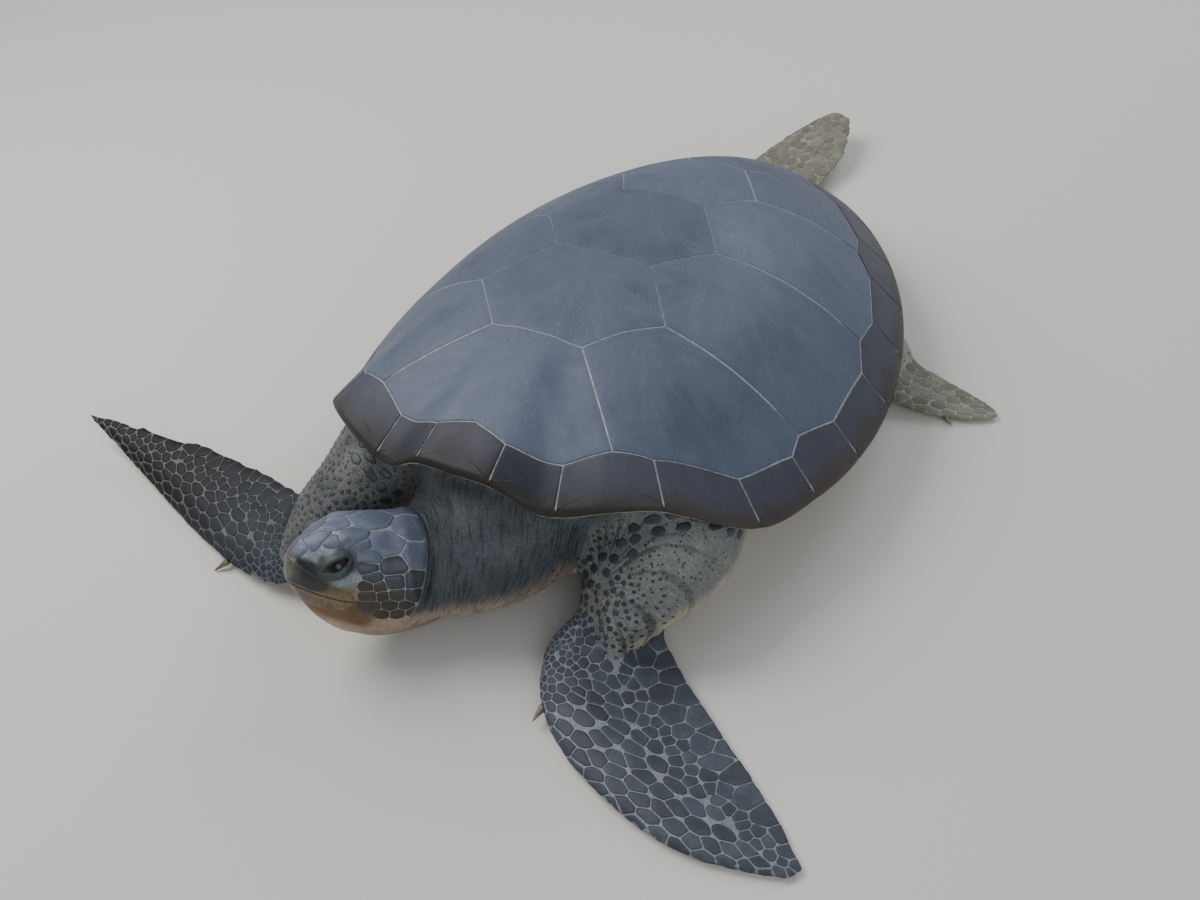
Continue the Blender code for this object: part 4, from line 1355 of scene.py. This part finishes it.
def addScale(form, i, seeds, look):
    outline, frame = scaleOutline(i, seeds, look["gap"], look["growth"], look["corners"], look["spacing"])
    if not outline or not seeds["drawn"][i]:
        return
    place, normal, size = seeds["place"][i], seeds["normal"][i], seeds["size"][i]
    colour, root = seeds["colour"][i], skinMap(place, normal)
    middle = sum(outline) / len(outline)
    height = look["height"] * min(1.0, size / look["fullSize"])
    bevel = min(look["bevel"], size * 0.3)
    # share of the outline, height over the skin and shade of each ring, from the foot up
    # darker at the foot and side of each scale: painted shade; lighter on its bevel: painted highlight
    rings = ((1.0, -look["sink"], 0.8), (1.0, height * 0.45, 0.9), (1 - bevel / size, height, 1.08),
             (0.5, height * 1.15, 1.0))
    form["faces"] += scaleFaces(len(form["points"]), len(outline), len(rings))
    grounds = {}
    for share, lift, shade in rings:
        flat = [middle + (p - middle) * share for p in outline]
        if share not in grounds:
            grounds[share] = [onSkin(place + frame.T @ p, normal)[0] for p in flat]
        for p, ground in zip(flat, grounds[share]):
            rise = lift if lift > 0 else -min(look["sink"], 0.3 * roomBelow(ground, normal))
            form["points"].append(ground + normal * rise)
            form["patches"].append((root[0] + patchHalf * p[0] / size, root[1] + patchHalf * p[1] / size))
        form["colours"] += [colour * shade] * len(flat)
    floor = onSkin(place + frame.T @ middle, normal)[0]
    foot = min(look["sink"] * 1.5, 0.4 * roomBelow(floor, normal))
    form["points"] += [floor + normal * height * 1.2, floor - normal * foot]
    form["colours"] += [colour] * 2
    form["patches"] += [root] * 2


def buildScales(name, seeds, look, material):
    # seeds: place, normal, run, size, stretch and colour of each scale, as arrays, and whether it is drawn
    form = {"points": [], "faces": [], "colours": [], "patches": []}
    for i in range(len(seeds["place"])):
        addScale(form, i, seeds, look)
    mesh = makeMesh(name, form["points"], form["faces"])
    paint(mesh, np.array(form["colours"]))
    layer = mesh.uv_layers.new(name="OFBake")
    corner = np.empty(len(mesh.loops), np.int32)
    mesh.loops.foreach_get("vertex_index", corner)
    layer.data.foreach_set("uv", np.array(form["patches"], np.float32)[corner].ravel())
    piece = makeObject(name, mesh, material)
    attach(piece, "root")
    print(name, len(seeds["place"]), "scales,", len(mesh.polygons), "faces")


def scaleMaterial(name, roughness, light, coat=0.05, specular=0.35):
    material = newShader(name, roughness, coat=coat, specular=specular)
    w = Wiring(material)
    tint = w.attribute("Tint")
    clouds = w.noise(38.0, detail=6, roughness=0.65)
    colour = w.shaded(w.ramp(clouds, ((0.40, 0.0), (0.70, 0.9))), tint, light)
    grain = w.noise(300.0, detail=3, roughness=0.7)
    colour = w.shaded(w.ramp(grain, ((0.50, 0.0), (0.72, 0.6))), colour, (0.6, 0.6, 0.62))
    normal = w.bump(w.noise(170.0, detail=4), 0.35, 0.0008)
    w.finish(colour, w.ranged(clouds, roughness - 0.1, roughness + 0.1), normal)
    return material


def tangents(normals, direction):
    run = direction - normals * (normals * direction).sum(1)[:, None]
    return run / np.maximum(np.linalg.norm(run, axis=1), 1e-9)[:, None]


headScales = {
    "gap": 0.0014, "growth": 1.62, "corners": 26, "spacing": 0.0042, "height": 0.0011, "fullSize": 0.008,
    "bevel": 0.0012, "sink": 0.0012, "slot": "skin",
    # along the head, turn from the crown, half size in mm, stretch along the head, colour
    "middle": ((0.720, 0, 9.5, 1.9, "crown"), (0.520, 0, 21, 1.10, "crown")),
    "pairs": ((0.868, 12, 10, 1.9, "crown"), (0.660, 23, 11, 1.7, "crown"), (0.300, 16, 21, 1.35, "crown"),
              (0.475, 32, 15.5, 1.25, "crown"), (0.290, 43, 15, 1.2, "crown"), (0.570, 45, 10, 1.2, "crown"),
              (0.430, 54, 11.5, 1.2, "temple"), (0.570, 57, 7.5, 1.3, "temple"),
              (0.535, 67, 7.5, 1.3, "temple"), (0.410, 70, 10, 1.1, "temple"),
              (0.300, 66, 10, 1.1, "temple"), (0.490, 77, 7.0, 1.1, "cheek"), (0.560, 79, 6.5, 1.2, "cheek"),
              (0.385, 84, 8.5, 1.2, "cheek"), (0.290, 82, 8.0, 1.1, "cheek"), (0.460, 88, 7.5, 1.2, "cheek"),
              (0.530, 91, 7.5, 1.3, "cheek"), (0.400, 98, 9.0, 1.2, "cheek"),
              (0.310, 96, 7.5, 1.1, "cheek"), (0.500, 104, 9.0, 1.3, "cheek"),
              (0.330, 108, 7.5, 1.1, "cheek"), (0.420, 112, 6.5, 1.2, "cheek"),
              (0.250, 104, 6.0, 1.0, "cheek"), (0.935, 14, 6.5, 1.3, "crown"),
              (0.780, 25, 6.0, 1.4, "crown"), (0.600, 34, 6.0, 1.4, "crown")),
    "collarEdge": 0.234,
    "twinned": 0.36,
    # the crown scales' own slate, made bluer by painted reflection of the sky
    "crown": (0.086, 0.102, 0.142),
    "temple": (0.046, 0.049, 0.060),
    "cheek": (0.034, 0.031, 0.026),
}


def labelNear(place):
    return fleshLabels[fleshTree.find_nearest(Vector(place))[2]]


def headSeeds():
    rows = list(headScales["middle"])
    for row in headScales["pairs"]:
        rows += [row, (row[0], -row[1], *row[2:])]
    seeds = {key: [] for key in ("place", "normal", "run", "size", "stretch", "colour", "drawn")}
    ahead = headTurn @ np.array((0.0, -1.0, 0.0))
    for along, turn, size, stretch, colour in rows:
        ray = np.array((sin(radians(turn)), 0.0, cos(radians(turn))))
        centre = np.array((0.0, -along * headLook["length"], headLook["axisHeight"]))
        start, toward = fromHead(centre + ray * 0.100), headTurn @ -ray
        hit, _, _, _ = skinTree.ray_cast(Vector(start), Vector(toward), 0.1)
        if hit is None or not fleshNodes[labelNear(hit)].startswith(("head", "lower_jaw", "neck")):
            continue
        steps = ((0.004, 0, 0), (-0.004, 0, 0), (0, 0.004, 0), (0, 0, 0.004))
        normal = sum((skinTree.find_nearest(hit + Vector(step))[1] for step in steps), Vector()).normalized()
        seeds["place"].append(np.array(hit))
        seeds["normal"].append(np.array(normal))
        seeds["size"].append(size / 1000)
        seeds["stretch"].append(stretch)
        seeds["colour"].append(np.array(headScales[colour]) * dice.uniform(0.82, 1.18))
        seeds["drawn"].append(True)
        if along < headScales["twinned"]:
            # an undrawn twin behind the collar keeps the scale in front of it
            back = 2 * (along - headScales["collarEdge"])
            seeds["place"].append(np.array(hit) - ahead * back * headLook["length"])
            for key in ("normal", "size", "stretch", "colour"):
                seeds[key].append(seeds[key][-1])
            seeds["drawn"].append(False)
    seeds = {key: np.array(rows) for key, rows in seeds.items() if key != "run"}
    seeds["run"] = tangents(seeds["normal"], ahead)
    return seeds


def skinSamples(node, count, lowest):
    # random places on the skin nearest to a node that face up at least so much, with the normals there
    faces = skin.data.polygons
    centres, normals = rowsOf(faces, "center"), rowsOf(faces, "normal")
    areas = np.empty(len(faces), np.float32)
    faces.foreach_get("area", areas)
    low, high = (np.array(v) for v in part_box(node))
    inside = ((centres > low - 0.01) & (centres < high + 0.01)).all(1) & (normals[:, 2] > lowest)
    inside = np.nonzero(inside)[0]
    label = fleshNodes.index(node)
    inside = np.array([i for i in inside if labelNear(centres[i]) == label])
    chance = areas[inside] / areas[inside].sum()
    chosen = dice.choice(inside, size=min(count, len(inside)), replace=False, p=chance)
    return centres[chosen], normals[chosen]


def scattered(places, normals, runs, sizes, stretches, room=0.88, passes=4):
    # seeds that keep their distance by their own sizes, then settle in the middle of their share
    taken = []
    for k in np.argsort(-sizes + dice.uniform(0, 0.35, len(sizes)) * sizes.mean()):
        if taken:
            away = places[taken] - places[k]
            along = away @ runs[k]
            side = np.sqrt(np.maximum((away ** 2).sum(1) - along ** 2, 0) + (along / stretches[k]) ** 2)
            facing = normals[taken] @ normals[k] > 0.1
            if (facing & (side < room * (sizes[taken] + sizes[k]))).any():
                continue
        taken.append(k)
    taken = np.array(taken)
    for _ in range(passes):
        away = places[:, None, :] - places[None, taken, :]
        along = (away * runs[None, taken, :]).sum(2)
        side = np.sqrt(np.maximum((away ** 2).sum(2) - along ** 2, 0) + (along / stretches[taken]) ** 2)
        side = side / sizes[taken] + 9.0 * (normals @ normals[taken].T < 0.1)
        owner = side.argmin(1)
        for j in range(len(taken)):
            mine = np.nonzero(owner == j)[0]
            if len(mine):
                middle = places[mine].mean(0)
                taken[j] = mine[np.argmin(((places[mine] - middle) ** 2).sum(1))]
    return np.unique(taken)


bladeScales = {
    "gap": 0.0017, "growth": 1.30, "corners": 22, "spacing": 0.0055, "height": 0.0007, "fullSize": 0.008,
    "bevel": 0.0012, "sink": 0.0010, "slot": "flipper_skin",
    "samples": 9000,
    # how far up a place on the skin faces to hold a scale, and to have it drawn
    "heldFacing": -0.35,
    "drawnFacing": 0.1,
    "slate": (0.044, 0.051, 0.066),
    # painted shade for the right blade: a darker brown toward its tip, and two darkening factors
    "shadowBrown": (0.026, 0.022, 0.021),
    "dusty": (0.150, 0.145, 0.112),
    "rightShade": 0.6,
    "outerShade": 0.4,
    "strips": 24,
}


def bladeChart(places, arm, claw):
    # u from the joint to the tip, v from the leading to the trailing edge
    flat = places[:, :2]
    middle = flat.mean(0)
    _, _, axes = np.linalg.svd(flat - middle, full_matrices=False)
    axis = axes[0]
    joint = np.array([sum(p) / 2 for p in zip(*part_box(arm))])[:2]
    if (joint - middle) @ axis > 0:
        axis = -axis
    side = np.array((-axis[1], axis[0]))
    clawAt = np.array([sum(p) / 2 for p in zip(*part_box(claw))])[:2]
    if (clawAt - middle) @ side > 0:
        side = -side
    u = (flat - middle) @ axis
    v = (flat - middle) @ side
    u = (u - u.min()) / np.ptp(u)
    count = bladeScales["strips"]
    bins = np.linspace(0, 1, count + 1)
    place = np.clip(np.digitize(u, bins) - 1, 0, count - 1)
    low = np.array([v[place == k].min() if (place == k).any() else 0 for k in range(count)])
    high = np.array([v[place == k].max() if (place == k).any() else 0 for k in range(count)])
    middles = (bins[:-1] + bins[1:]) / 2
    lowAt, highAt = np.interp(u, middles, low), np.interp(u, middles, high)
    return u, np.clip((v - lowAt) / np.maximum(highAt - lowAt, 1e-4), 0, 1), highAt - lowAt, axis, side


def addBladeScales(kind, side, sizeOf, material):
    node = f"{kind}_flipper_{side}"
    arm = f"upper_arm_{side}" if kind == "front" else f"thigh_{side}"
    places, normals = skinSamples(node, bladeScales["samples"], bladeScales["heldFacing"])
    u, v, width, axis, across = bladeChart(places, arm, f"{kind}_claw_{side}")
    sizes, stretches, lean = sizeOf(u, v, width)
    direction = np.outer(np.cos(lean), axis) + np.outer(np.sin(lean), across)
    runs = tangents(normals, np.column_stack((direction, np.zeros(len(direction)))))
    taken = scattered(places, normals, runs, sizes, stretches)
    # painted shade: the right blade's scales browner and darker toward the tip, and darker overall
    outer = smoothStep(0.0, 0.8, u[taken]) * (side == "right")
    base = mixRows(bladeScales["slate"], bladeScales["shadowBrown"], outer)
    base = base * (1 - (1 - bladeScales["outerShade"]) * outer)[:, None]
    base = base * (bladeScales["rightShade"] if side == "right" else 1.0)
    if kind == "hind":
        base = np.tile(bladeScales["dusty"], (len(taken), 1))
    seeds = {"place": places[taken], "normal": normals[taken], "run": runs[taken], "size": sizes[taken],
             "stretch": stretches[taken], "colour": base * dice.uniform(0.80, 1.2, (len(taken), 1)),
             "drawn": normals[taken][:, 2] > bladeScales["drawnFacing"]}
    buildScales(f"{kind}_scales_{side}", seeds, bladeScales, material)


def frontSizes(u, v, width):
    # half sizes, stretches and lean of the scales: small at the elbow, larger toward the trailing edge
    full = smoothStep(0.02, 0.30, u) * (0.45 + 0.55 * np.clip(width / 0.13, 0, 1))
    trail = smoothStep(0.66, 0.80, v)
    size = 0.0036 + full * (0.0040 + 0.0088 * trail)
    stretch = 1 + full * (0.9 * smoothStep(0.62, 0.40, v) + 0.25 * trail)
    return size, stretch, np.radians(12 + 70 * trail)


def hindSizes(u, v, _):
    full = smoothStep(0.0, 0.25, u)
    trail = smoothStep(0.60, 0.85, v)
    return 0.0038 + full * (0.0030 + 0.0030 * trail), 1 + 0.35 * full, np.radians(10 + 40 * trail)


spotScales = {
    # named as the inputs of the tree
    "Height": 0.0008,
    "Sink": 0.0008,
    "Ragged": 0.9,
    "Segments": 16,
    "Rings": 6,
    "colour": (0.026, 0.031, 0.039),
    "samples": 5000,
    "heldFacing": -0.25,
    "rimBand": (0.935, 1.0),
    "rimSize": 0.0066,
    "rimStretch": 1.7,
    "elbowReach": 0.062,
    "elbowSizes": (0.0019, 0.0044),
    "elbowStretch": 1.5,
    # the right elbow is the mirror of the left, a little farther out
    "rightElbow": (-1.3, 1, 1),
}


class SpotNodes:
    # short ways to add the nodes of a geometry tree and to wire them

    def __init__(self, tree):
        self.tree = tree

    def add(self, kind, inputs=(), output=0, **settings):
        node = self.tree.nodes.new(kind)
        for name, value in settings.items():
            setattr(node, name, value)
        for socket, value in dict(inputs).items():
            if isinstance(value, bpy.types.NodeSocket):
                self.tree.links.new(value, node.inputs[socket])
            else:
                node.inputs[socket].default_value = value
        return node.outputs[output]

    def vector(self, operation, first, second=None, scale=None):
        inputs = {0: first}
        if second is not None:
            inputs[1] = second
        if scale is not None:
            inputs["Scale"] = scale
        return self.add("ShaderNodeVectorMath", inputs, operation=operation)

    def sum(self, first, second):
        return self.add("ShaderNodeMath", {0: first, 1: second}, operation="ADD")

    def product(self, first, second):
        return self.add("ShaderNodeMath", {0: first, 1: second}, operation="MULTIPLY")

    def named(self, name, kind="FLOAT_VECTOR"):
        return self.add("GeometryNodeInputNamedAttribute", {"Name": name}, data_type=kind)

    def store(self, geometry, name, value, kind, domain="POINT"):
        inputs = {"Geometry": geometry, "Name": name, "Value": value}
        return self.add("GeometryNodeStoreNamedAttribute", inputs, data_type=kind, domain=domain)


def spotTree():
    # a round button stands on every seed, is dented by noise and is laid down on the skin
    tree = bpy.data.node_groups.new("spots", "GeometryNodeTree")
    sockets = {"Geometry": "Geometry", "Skin": "Object", "Material": "Material", "Height": "Float",
               "Sink": "Float", "Ragged": "Float", "Segments": "Int", "Rings": "Int"}
    for name, kind in sockets.items():
        tree.interface.new_socket(name, in_out="INPUT", socket_type="NodeSocket" + kind)
    tree.interface.new_socket("Geometry", in_out="OUTPUT", socket_type="NodeSocketGeometry")
    given = tree.nodes.new("NodeGroupInput").outputs
    n = SpotNodes(tree)
    place = n.add("GeometryNodeInputPosition")
    form = {"Segments": given["Segments"], "Rings": given["Rings"], "Radius": 1.0}
    button = n.add("GeometryNodeMeshUVSphere", form)
    button = n.store(button, "Button", place, "FLOAT_VECTOR")
    facing, size = n.named("Facing"), n.named("Size")
    axes = {0: facing, 1: n.named("Run")}
    turn = n.add("FunctionNodeAxesToRotation", axes, primary_axis="Z", secondary_axis="X")
    spots = n.add("GeometryNodeInstanceOnPoints", {"Points": given["Geometry"], "Instance": button,
                                                   "Rotation": turn, "Scale": size})
    spots = n.add("GeometryNodeRealizeInstances", {"Geometry": spots})
    middle = n.named("Middle")
    noise = n.add("ShaderNodeTexNoise", {"Vector": place, "Scale": 110.0, "Detail": 1.0})
    swell = n.sum(1.0, n.product(given["Ragged"], n.sum(noise, -0.5)))
    dented = n.vector("ADD", middle, n.vector("SCALE", n.vector("SUBTRACT", place, middle), scale=swell))
    spots = n.add("GeometryNodeSetPosition", {"Geometry": spots, "Position": dented})
    skinShape = n.add("GeometryNodeObjectInfo", {"Object": given["Skin"]}, output="Geometry")
    above = n.vector("ADD", place, n.vector("SCALE", facing, scale=0.03))
    ray = tree.nodes.new("GeometryNodeRaycast")
    for socket, source in (("Target Geometry", skinShape), ("Source Position", above),
                           ("Ray Direction", n.vector("SCALE", facing, scale=-1.0))):
        tree.links.new(source, ray.inputs[socket])
    ray.inputs["Ray Length"].default_value = 0.06
    ground = n.add("GeometryNodeSwitch", {"Switch": ray.outputs["Is Hit"], "False": place,
                                          "True": ray.outputs["Hit Position"]}, input_type="VECTOR")
    local = n.named("Button")
    level = n.add("ShaderNodeSeparateXYZ", {"Vector": local}, output="Z")
    lift = n.add("ShaderNodeMapRange", {"Value": level, "From Min": -0.7, "From Max": 0.8,
                                        "To Min": n.product(given["Sink"], -1.0), "To Max": given["Height"]},
                 interpolation_type="SMOOTHSTEP")
    laid = n.vector("ADD", ground, n.vector("SCALE", facing, scale=lift))
    spots = n.add("GeometryNodeSetPosition", {"Geometry": spots, "Position": laid})
    patch = n.vector("ADD", n.named("Root"), n.vector("SCALE", local, scale=patchHalf))
    spots = n.store(spots, "OFBake", patch, "FLOAT2", "CORNER")
    spots = n.add("GeometryNodeSetShadeSmooth", {"Geometry": spots, "Shade Smooth": True})
    spots = n.add("GeometryNodeSetMaterial", {"Geometry": spots, "Material": given["Material"]})
    tree.links.new(spots, tree.nodes.new("NodeGroupOutput").inputs[0])
    return tree


def growSpots(name, seeds, tree, material):
    points = seeds["place"]
    mesh = bpy.data.meshes.new(name)
    mesh.from_pydata([tuple(p) for p in points], [], [])
    paint(mesh, seeds["colour"])
    roots = np.array([(*skinMap(p, normal), 0.0) for p, normal in zip(points, seeds["normal"])])
    sizes = np.stack((seeds["size"] * seeds["stretch"], seeds["size"], seeds["size"] * 0.05), 1)
    carried = {"Facing": seeds["normal"], "Run": seeds["run"], "Size": sizes, "Middle": points, "Root": roots}
    for layerName, values in carried.items():
        addVectors(mesh, layerName, values)
    piece = makeObject(name, mesh, material)
    step = piece.modifiers.new("spots", "NODES")
    step.node_group = tree
    given = {"Skin": skin, "Material": material} | spotScales
    for socket in tree.interface.items_tree:
        if socket.in_out == "INPUT" and socket.name in given:
            step[socket.identifier] = given[socket.name]
    grown = bpy.data.meshes.new_from_object(piece.evaluated_get(bpy.context.evaluated_depsgraph_get()))
    piece.modifiers.clear()
    piece.data = grown
    for layerName in (*carried, "Button"):
        grown.attributes.remove(grown.attributes[layerName])
    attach(piece, "root")
    print(name, len(points), "spots,", len(grown.polygons), "faces")


def addSpots(side, tree, material):
    # ovals in a row below the shell's edge, and a cluster at the elbow that thins out along the arm
    look = spotScales
    places, normals = skinSamples(f"upper_arm_{side}", look["samples"], look["heldFacing"])
    reach = domeReach(places[:, 0], places[:, 1])
    band = (reach > look["rimBand"][0]) & (reach < look["rimBand"][1]) & (normals[:, 2] > 0.1)
    elbow = np.array(skinLook["elbow"]) * ((1, 1, 1) if side == "left" else look["rightElbow"])
    far = np.linalg.norm(places - elbow, axis=1) / look["elbowReach"]
    kept = band | (far < 1.9)
    places, normals, band, far = places[kept], normals[kept], band[kept], far[kept]
    small, large = look["elbowSizes"]
    sizes = np.where(band, look["rimSize"], small + (large - small) * smoothStep(1.5, 0.7, far))
    outward = np.column_stack((places[:, 1] - shellMiddle, -places[:, 0], np.zeros(len(places))))
    outward /= np.linalg.norm(outward, axis=1)[:, None]
    runs = tangents(normals, outward)
    rooms = sizes * np.where(band, 1.25, 1.15 + 1.5 * smoothStep(0.9, 1.7, far))
    stretches = np.where(band, look["rimStretch"], look["elbowStretch"])
    taken = scattered(places, normals, runs, rooms, stretches, passes=2)
    seeds = {"place": places[taken], "normal": normals[taken], "run": runs[taken], "size": sizes[taken],
             "stretch": dice.uniform(1.0, 1.5, len(taken)) + 0.4 * band[taken],
             "colour": np.array(look["colour"]) * dice.uniform(0.8, 1.4, (len(taken), 1))}
    growSpots(f"spots_{side}", seeds, tree, material)


spotForm = spotTree()
headScaleMaterial = scaleMaterial("headScales", 0.42, (1.45, 1.42, 1.36))
bladeScaleMaterial = scaleMaterial("bladeScales", 0.55, (1.40, 1.38, 1.34), 0.02, 0.20)
buildScales("head_scales", headSeeds(), headScales, headScaleMaterial)
for side in ("left", "right"):
    addBladeScales("front", side, frontSizes, bladeScaleMaterial)
    addBladeScales("hind", side, hindSizes, bladeScaleMaterial)
    addSpots(side, spotForm, headScaleMaterial)
print("scales ready")


beakLook = {
    "thickness": 0.0009,
    # share and rounds of the smoothing of the border and of the rest
    "borderSmoothing": (0.5, 30),
    "innerSmoothing": (0.6, 6),
    # height of the cover beside its border, and how far the border is tucked under, as shares
    "edgeShare": 0.8,
    "tuckShare": 0.12,
    # upper and lower edge against the place along the head
    "upperTop": ((0.0, 0.020), (0.58, 0.024), (0.68, 0.033), (0.78, 0.037), (0.88, 0.045), (0.95, 0.050),
                 (1.2, 0.054)),
    "lowerFoot": ((0.0, 0.004), (0.60, -0.002), (0.72, -0.012), (0.85, -0.014), (1.2, -0.012)),
    "rear": 0.60,
    "tan": (0.150, 0.094, 0.042),
    "olive": (0.070, 0.058, 0.036),
    "pale": (0.200, 0.150, 0.088),
    "tip": (0.105, 0.100, 0.090),
}


def sheath(name, chosen, colours, material):
    # a thin closed cover over part of the skin, its border tucked under the surface
    mesh = skin.data
    points = pointsOf(mesh)
    faces = [tuple(f.vertices) for f in mesh.polygons if all(chosen[i] for i in f.vertices)]
    used = sorted({i for f in faces for i in f})
    place = {old: new for new, old in enumerate(used)}
    faces = [tuple(place[i] for i in f) for f in faces]
    sides = {}
    for f in faces:
        for a, b in zip(f, f[1:] + f[:1]):
            sides[(a, b)] = True
    border = [(a, b) for a, b in sides if (b, a) not in sides]
    thickness = beakLook["thickness"]
    lift = np.full(len(used), thickness)
    rim = {i for side in border for i in side}
    onRim = np.zeros(len(used))
    onRim[list(rim)] = 1.0
    share, rounds = beakLook["borderSmoothing"]
    base = relaxed(points[used], np.array(border), share * onRim, rounds)
    share, rounds = beakLook["innerSmoothing"]
    base = relaxed(base, np.array(list(sides)), share * (1 - onRim), rounds)
    found = [skinTree.find_nearest(Vector(p)) for p in base]
    base, facing = (np.array([tuple(f[k]) for f in found]) for k in (0, 1))
    for f in faces:
        if any(i in rim for i in f):
            for i in f:
                lift[i] = min(lift[i], thickness * beakLook["edgeShare"])
    lift[list(rim)] = -thickness * beakLook["tuckShare"]
    top, under = base + facing * lift[:, None], base - facing * thickness
    count = len(used)
    allFaces = faces + [tuple(i + count for i in reversed(f)) for f in faces]
    allFaces += [(b, a, a + count, b + count) for a, b in border]
    cover = makeMesh(name, np.vstack((top, under)), allFaces)
    paint(cover, np.vstack((colours(base), colours(base))))
    piece = makeObject(name, cover, material)
    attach(piece, "root")


def beakColours(points):
    local = toHead(points)
    along = alongHead(local)
    above = local[:, 2] - mouthLine(along)
    streaks = noiseAt(local * (1, 4, 0.6), 90.0)
    clouds = noiseAt(local, 45.0, 4.0)
    colours = mixRows(beakLook["tan"], beakLook["olive"], smoothStep(-0.25, 0.45, clouds + 0.5 * streaks))
    colours = mixRows(colours, beakLook["pale"], 0.6 * smoothStep(0.0065, 0.0015, np.abs(above)))
    colours = mixRows(colours, skinColours["nostrils"], darkPatch(local, along, 0.058) * (above > 0))
    colours = mixRows(colours, beakLook["tip"], 0.8 * smoothStep(0.90, 0.97, along) * (above > 0))
    # painted shade: darker right at the gap between the two sheaths
    return colours * (1 - 0.72 * np.exp(-(above / 0.0011) ** 2))[:, None]


def buildBeak():
    material = newShader("horn", 0.4, coat=0.12)
    w = Wiring(material)
    grain = w.noise(120.0, detail=5, stretch=(1.0, 1.0, 0.25))
    colour = w.shaded(w.ramp(grain, ((0.4, 0.0), (0.7, 0.8))), w.attribute("Tint"), (0.6, 0.6, 0.62))
    w.finish(colour, None, w.bump(grain, 0.3, 0.0008))
    points = pointsOf(skin.data)
    local = toHead(points)
    along = alongHead(local)
    line = mouthLine(along)
    near = (np.abs(local[:, 0]) < 0.08) & (along > beakLook["rear"]) & (along < 1.15)
    near &= (local[:, 2] < 0.07) & (local[:, 2] > -0.03)
    upper = near & (local[:, 2] > line + 0.0004) & (local[:, 2] < cubicTable(beakLook["upperTop"], along))
    lower = near & (local[:, 2] < line - 0.0004) & (local[:, 2] > cubicTable(beakLook["lowerFoot"], along))
    sheath("upper_beak", upper, beakColours, material)
    sheath("lower_beak", lower, beakColours, material)
    return material


hornMaterial = buildBeak()
print("beak ready")


clawLook = {"growth": 1.3, "root": (0.060, 0.055, 0.050), "tip": (0.170, 0.145, 0.100)}


def buildClaws():
    for node in sorted(n for n in nodes if "claw" in n):
        points, faces = mergedForm(node, 0.0)
        item = makeObject("claw_form", makeMesh("claw_form", points, faces))
        step = item.modifiers.new("smooth", "SUBSURF")
        step.levels = step.render_levels = 2
        mesh = bpy.data.meshes.new_from_object(item.evaluated_get(bpy.context.evaluated_depsgraph_get()))
        bpy.data.objects.remove(item)
        mesh.shade_smooth()
        # grown from its tip, so that its root sinks into the flipper
        places = pointsOf(mesh)
        flipper = np.mean(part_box(node.replace("claw", "flipper")), axis=0)
        reach = np.linalg.norm(places - flipper, axis=1)
        tip = places[reach.argmax()]
        share = (reach - reach.min()) / np.ptp(reach)
        setPoints(mesh, tip + (places - tip) * clawLook["growth"])
        paint(mesh, mixRows(clawLook["root"], clawLook["tip"], share))
        claw = makeObject(node + "_horn", mesh, hornMaterial)
        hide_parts(node)
        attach(claw, "root")


buildClaws()
print("claws ready")


plastronLook = {
    "voxel": 0.0060,
    "cream": (0.560, 0.480, 0.300),
    "stain": (0.330, 0.260, 0.140),
    "seam": (0.200, 0.160, 0.090),
    # seams across, as a share of the length, with how far they bow toward the head at the middle
    "seams": ((0.085, 0.030), (0.235, 0.010), (0.420, -0.012), (0.610, 0.012), (0.800, 0.020)),
    # the seams along both sides: place across, and the part of the length that has them
    "bridge": 0.66,
    "bridgeSpan": (0.26, 0.78),
    "seamWidth": 0.0045,
    "seamDepth": 0.0011,
    # how far the seams waver: the middle one, those across and the side ones
    "waver": (0.003, 0.004, 0.02),
    # points lower than this lie on the floor
    "floorBand": 0.0035,
    "smoothing": (0.6, 10),
}


def plastronSeams(places, grain, low, high):
    # how deep each point lies in a seam, from 0 to 1
    share = (places[:, 1] - low[1]) / (high[1] - low[1])
    across = np.abs(places[:, 0]) / high[0]
    alongWaver, acrossWaver, sideWaver = plastronLook["waver"]
    lines = np.abs(places[:, 0] + alongWaver * grain)
    for place, bow in plastronLook["seams"]:
        centre = place + bow * (across * 1.6 - 0.6) + acrossWaver * grain
        lines = np.minimum(lines, np.abs(share - centre) * (high[1] - low[1]))
    edge = np.abs(across - plastronLook["bridge"] - sideWaver * grain) * high[0]
    front, rear = plastronLook["bridgeSpan"]
    lines = np.where((share > front) & (share < rear), np.minimum(lines, edge), lines)
    return np.exp(-(lines / plastronLook["seamWidth"]) ** 2)


def buildPlastron():
    points, faces = mergedForm("plastron", 0.0)
    mesh = voxelUnion(points, faces, plastronLook["voxel"])
    places, edges = pointsOf(mesh), edgesOf(mesh)
    onFloor = places[:, 2] < plastronLook["floorBand"]
    places = relaxed(places, edges, *plastronLook["smoothing"])
    places[onFloor, 2] = 0.0
    low, high = (np.array(v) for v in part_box("plastron"))
    grain = noiseAt(places, 14.0, 2.0)
    seam = plastronSeams(places, grain, low, high)
    setPoints(mesh, np.clip(places, low, high))
    places[:, 2] += np.where(normalsOf(mesh)[:, 2] < -0.5, plastronLook["seamDepth"] * seam, 0)
    setPoints(mesh, np.clip(places, low, high))
    colours = mixRows(plastronLook["cream"], plastronLook["stain"], 0.7 * smoothStep(0.0, 0.5, grain))
    paint(mesh, mixRows(colours, plastronLook["seam"], 0.8 * seam))
    mesh.shade_smooth()
    material = newShader("plastron", 0.45, coat=0.08)
    w = Wiring(material)
    clouds = w.noise(24.0, detail=6, roughness=0.65)
    colour = w.shaded(w.ramp(clouds, ((0.42, 0.0), (0.72, 0.8))), w.attribute("Tint"), (0.72, 0.66, 0.55))
    w.finish(colour, None, w.bump(w.noise(80.0), 0.2, 0.001))
    piece = makeObject("plastron_scutes", mesh, material)
    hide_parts("plastron")
    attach(piece, "root")


buildPlastron()
print("plastron ready")
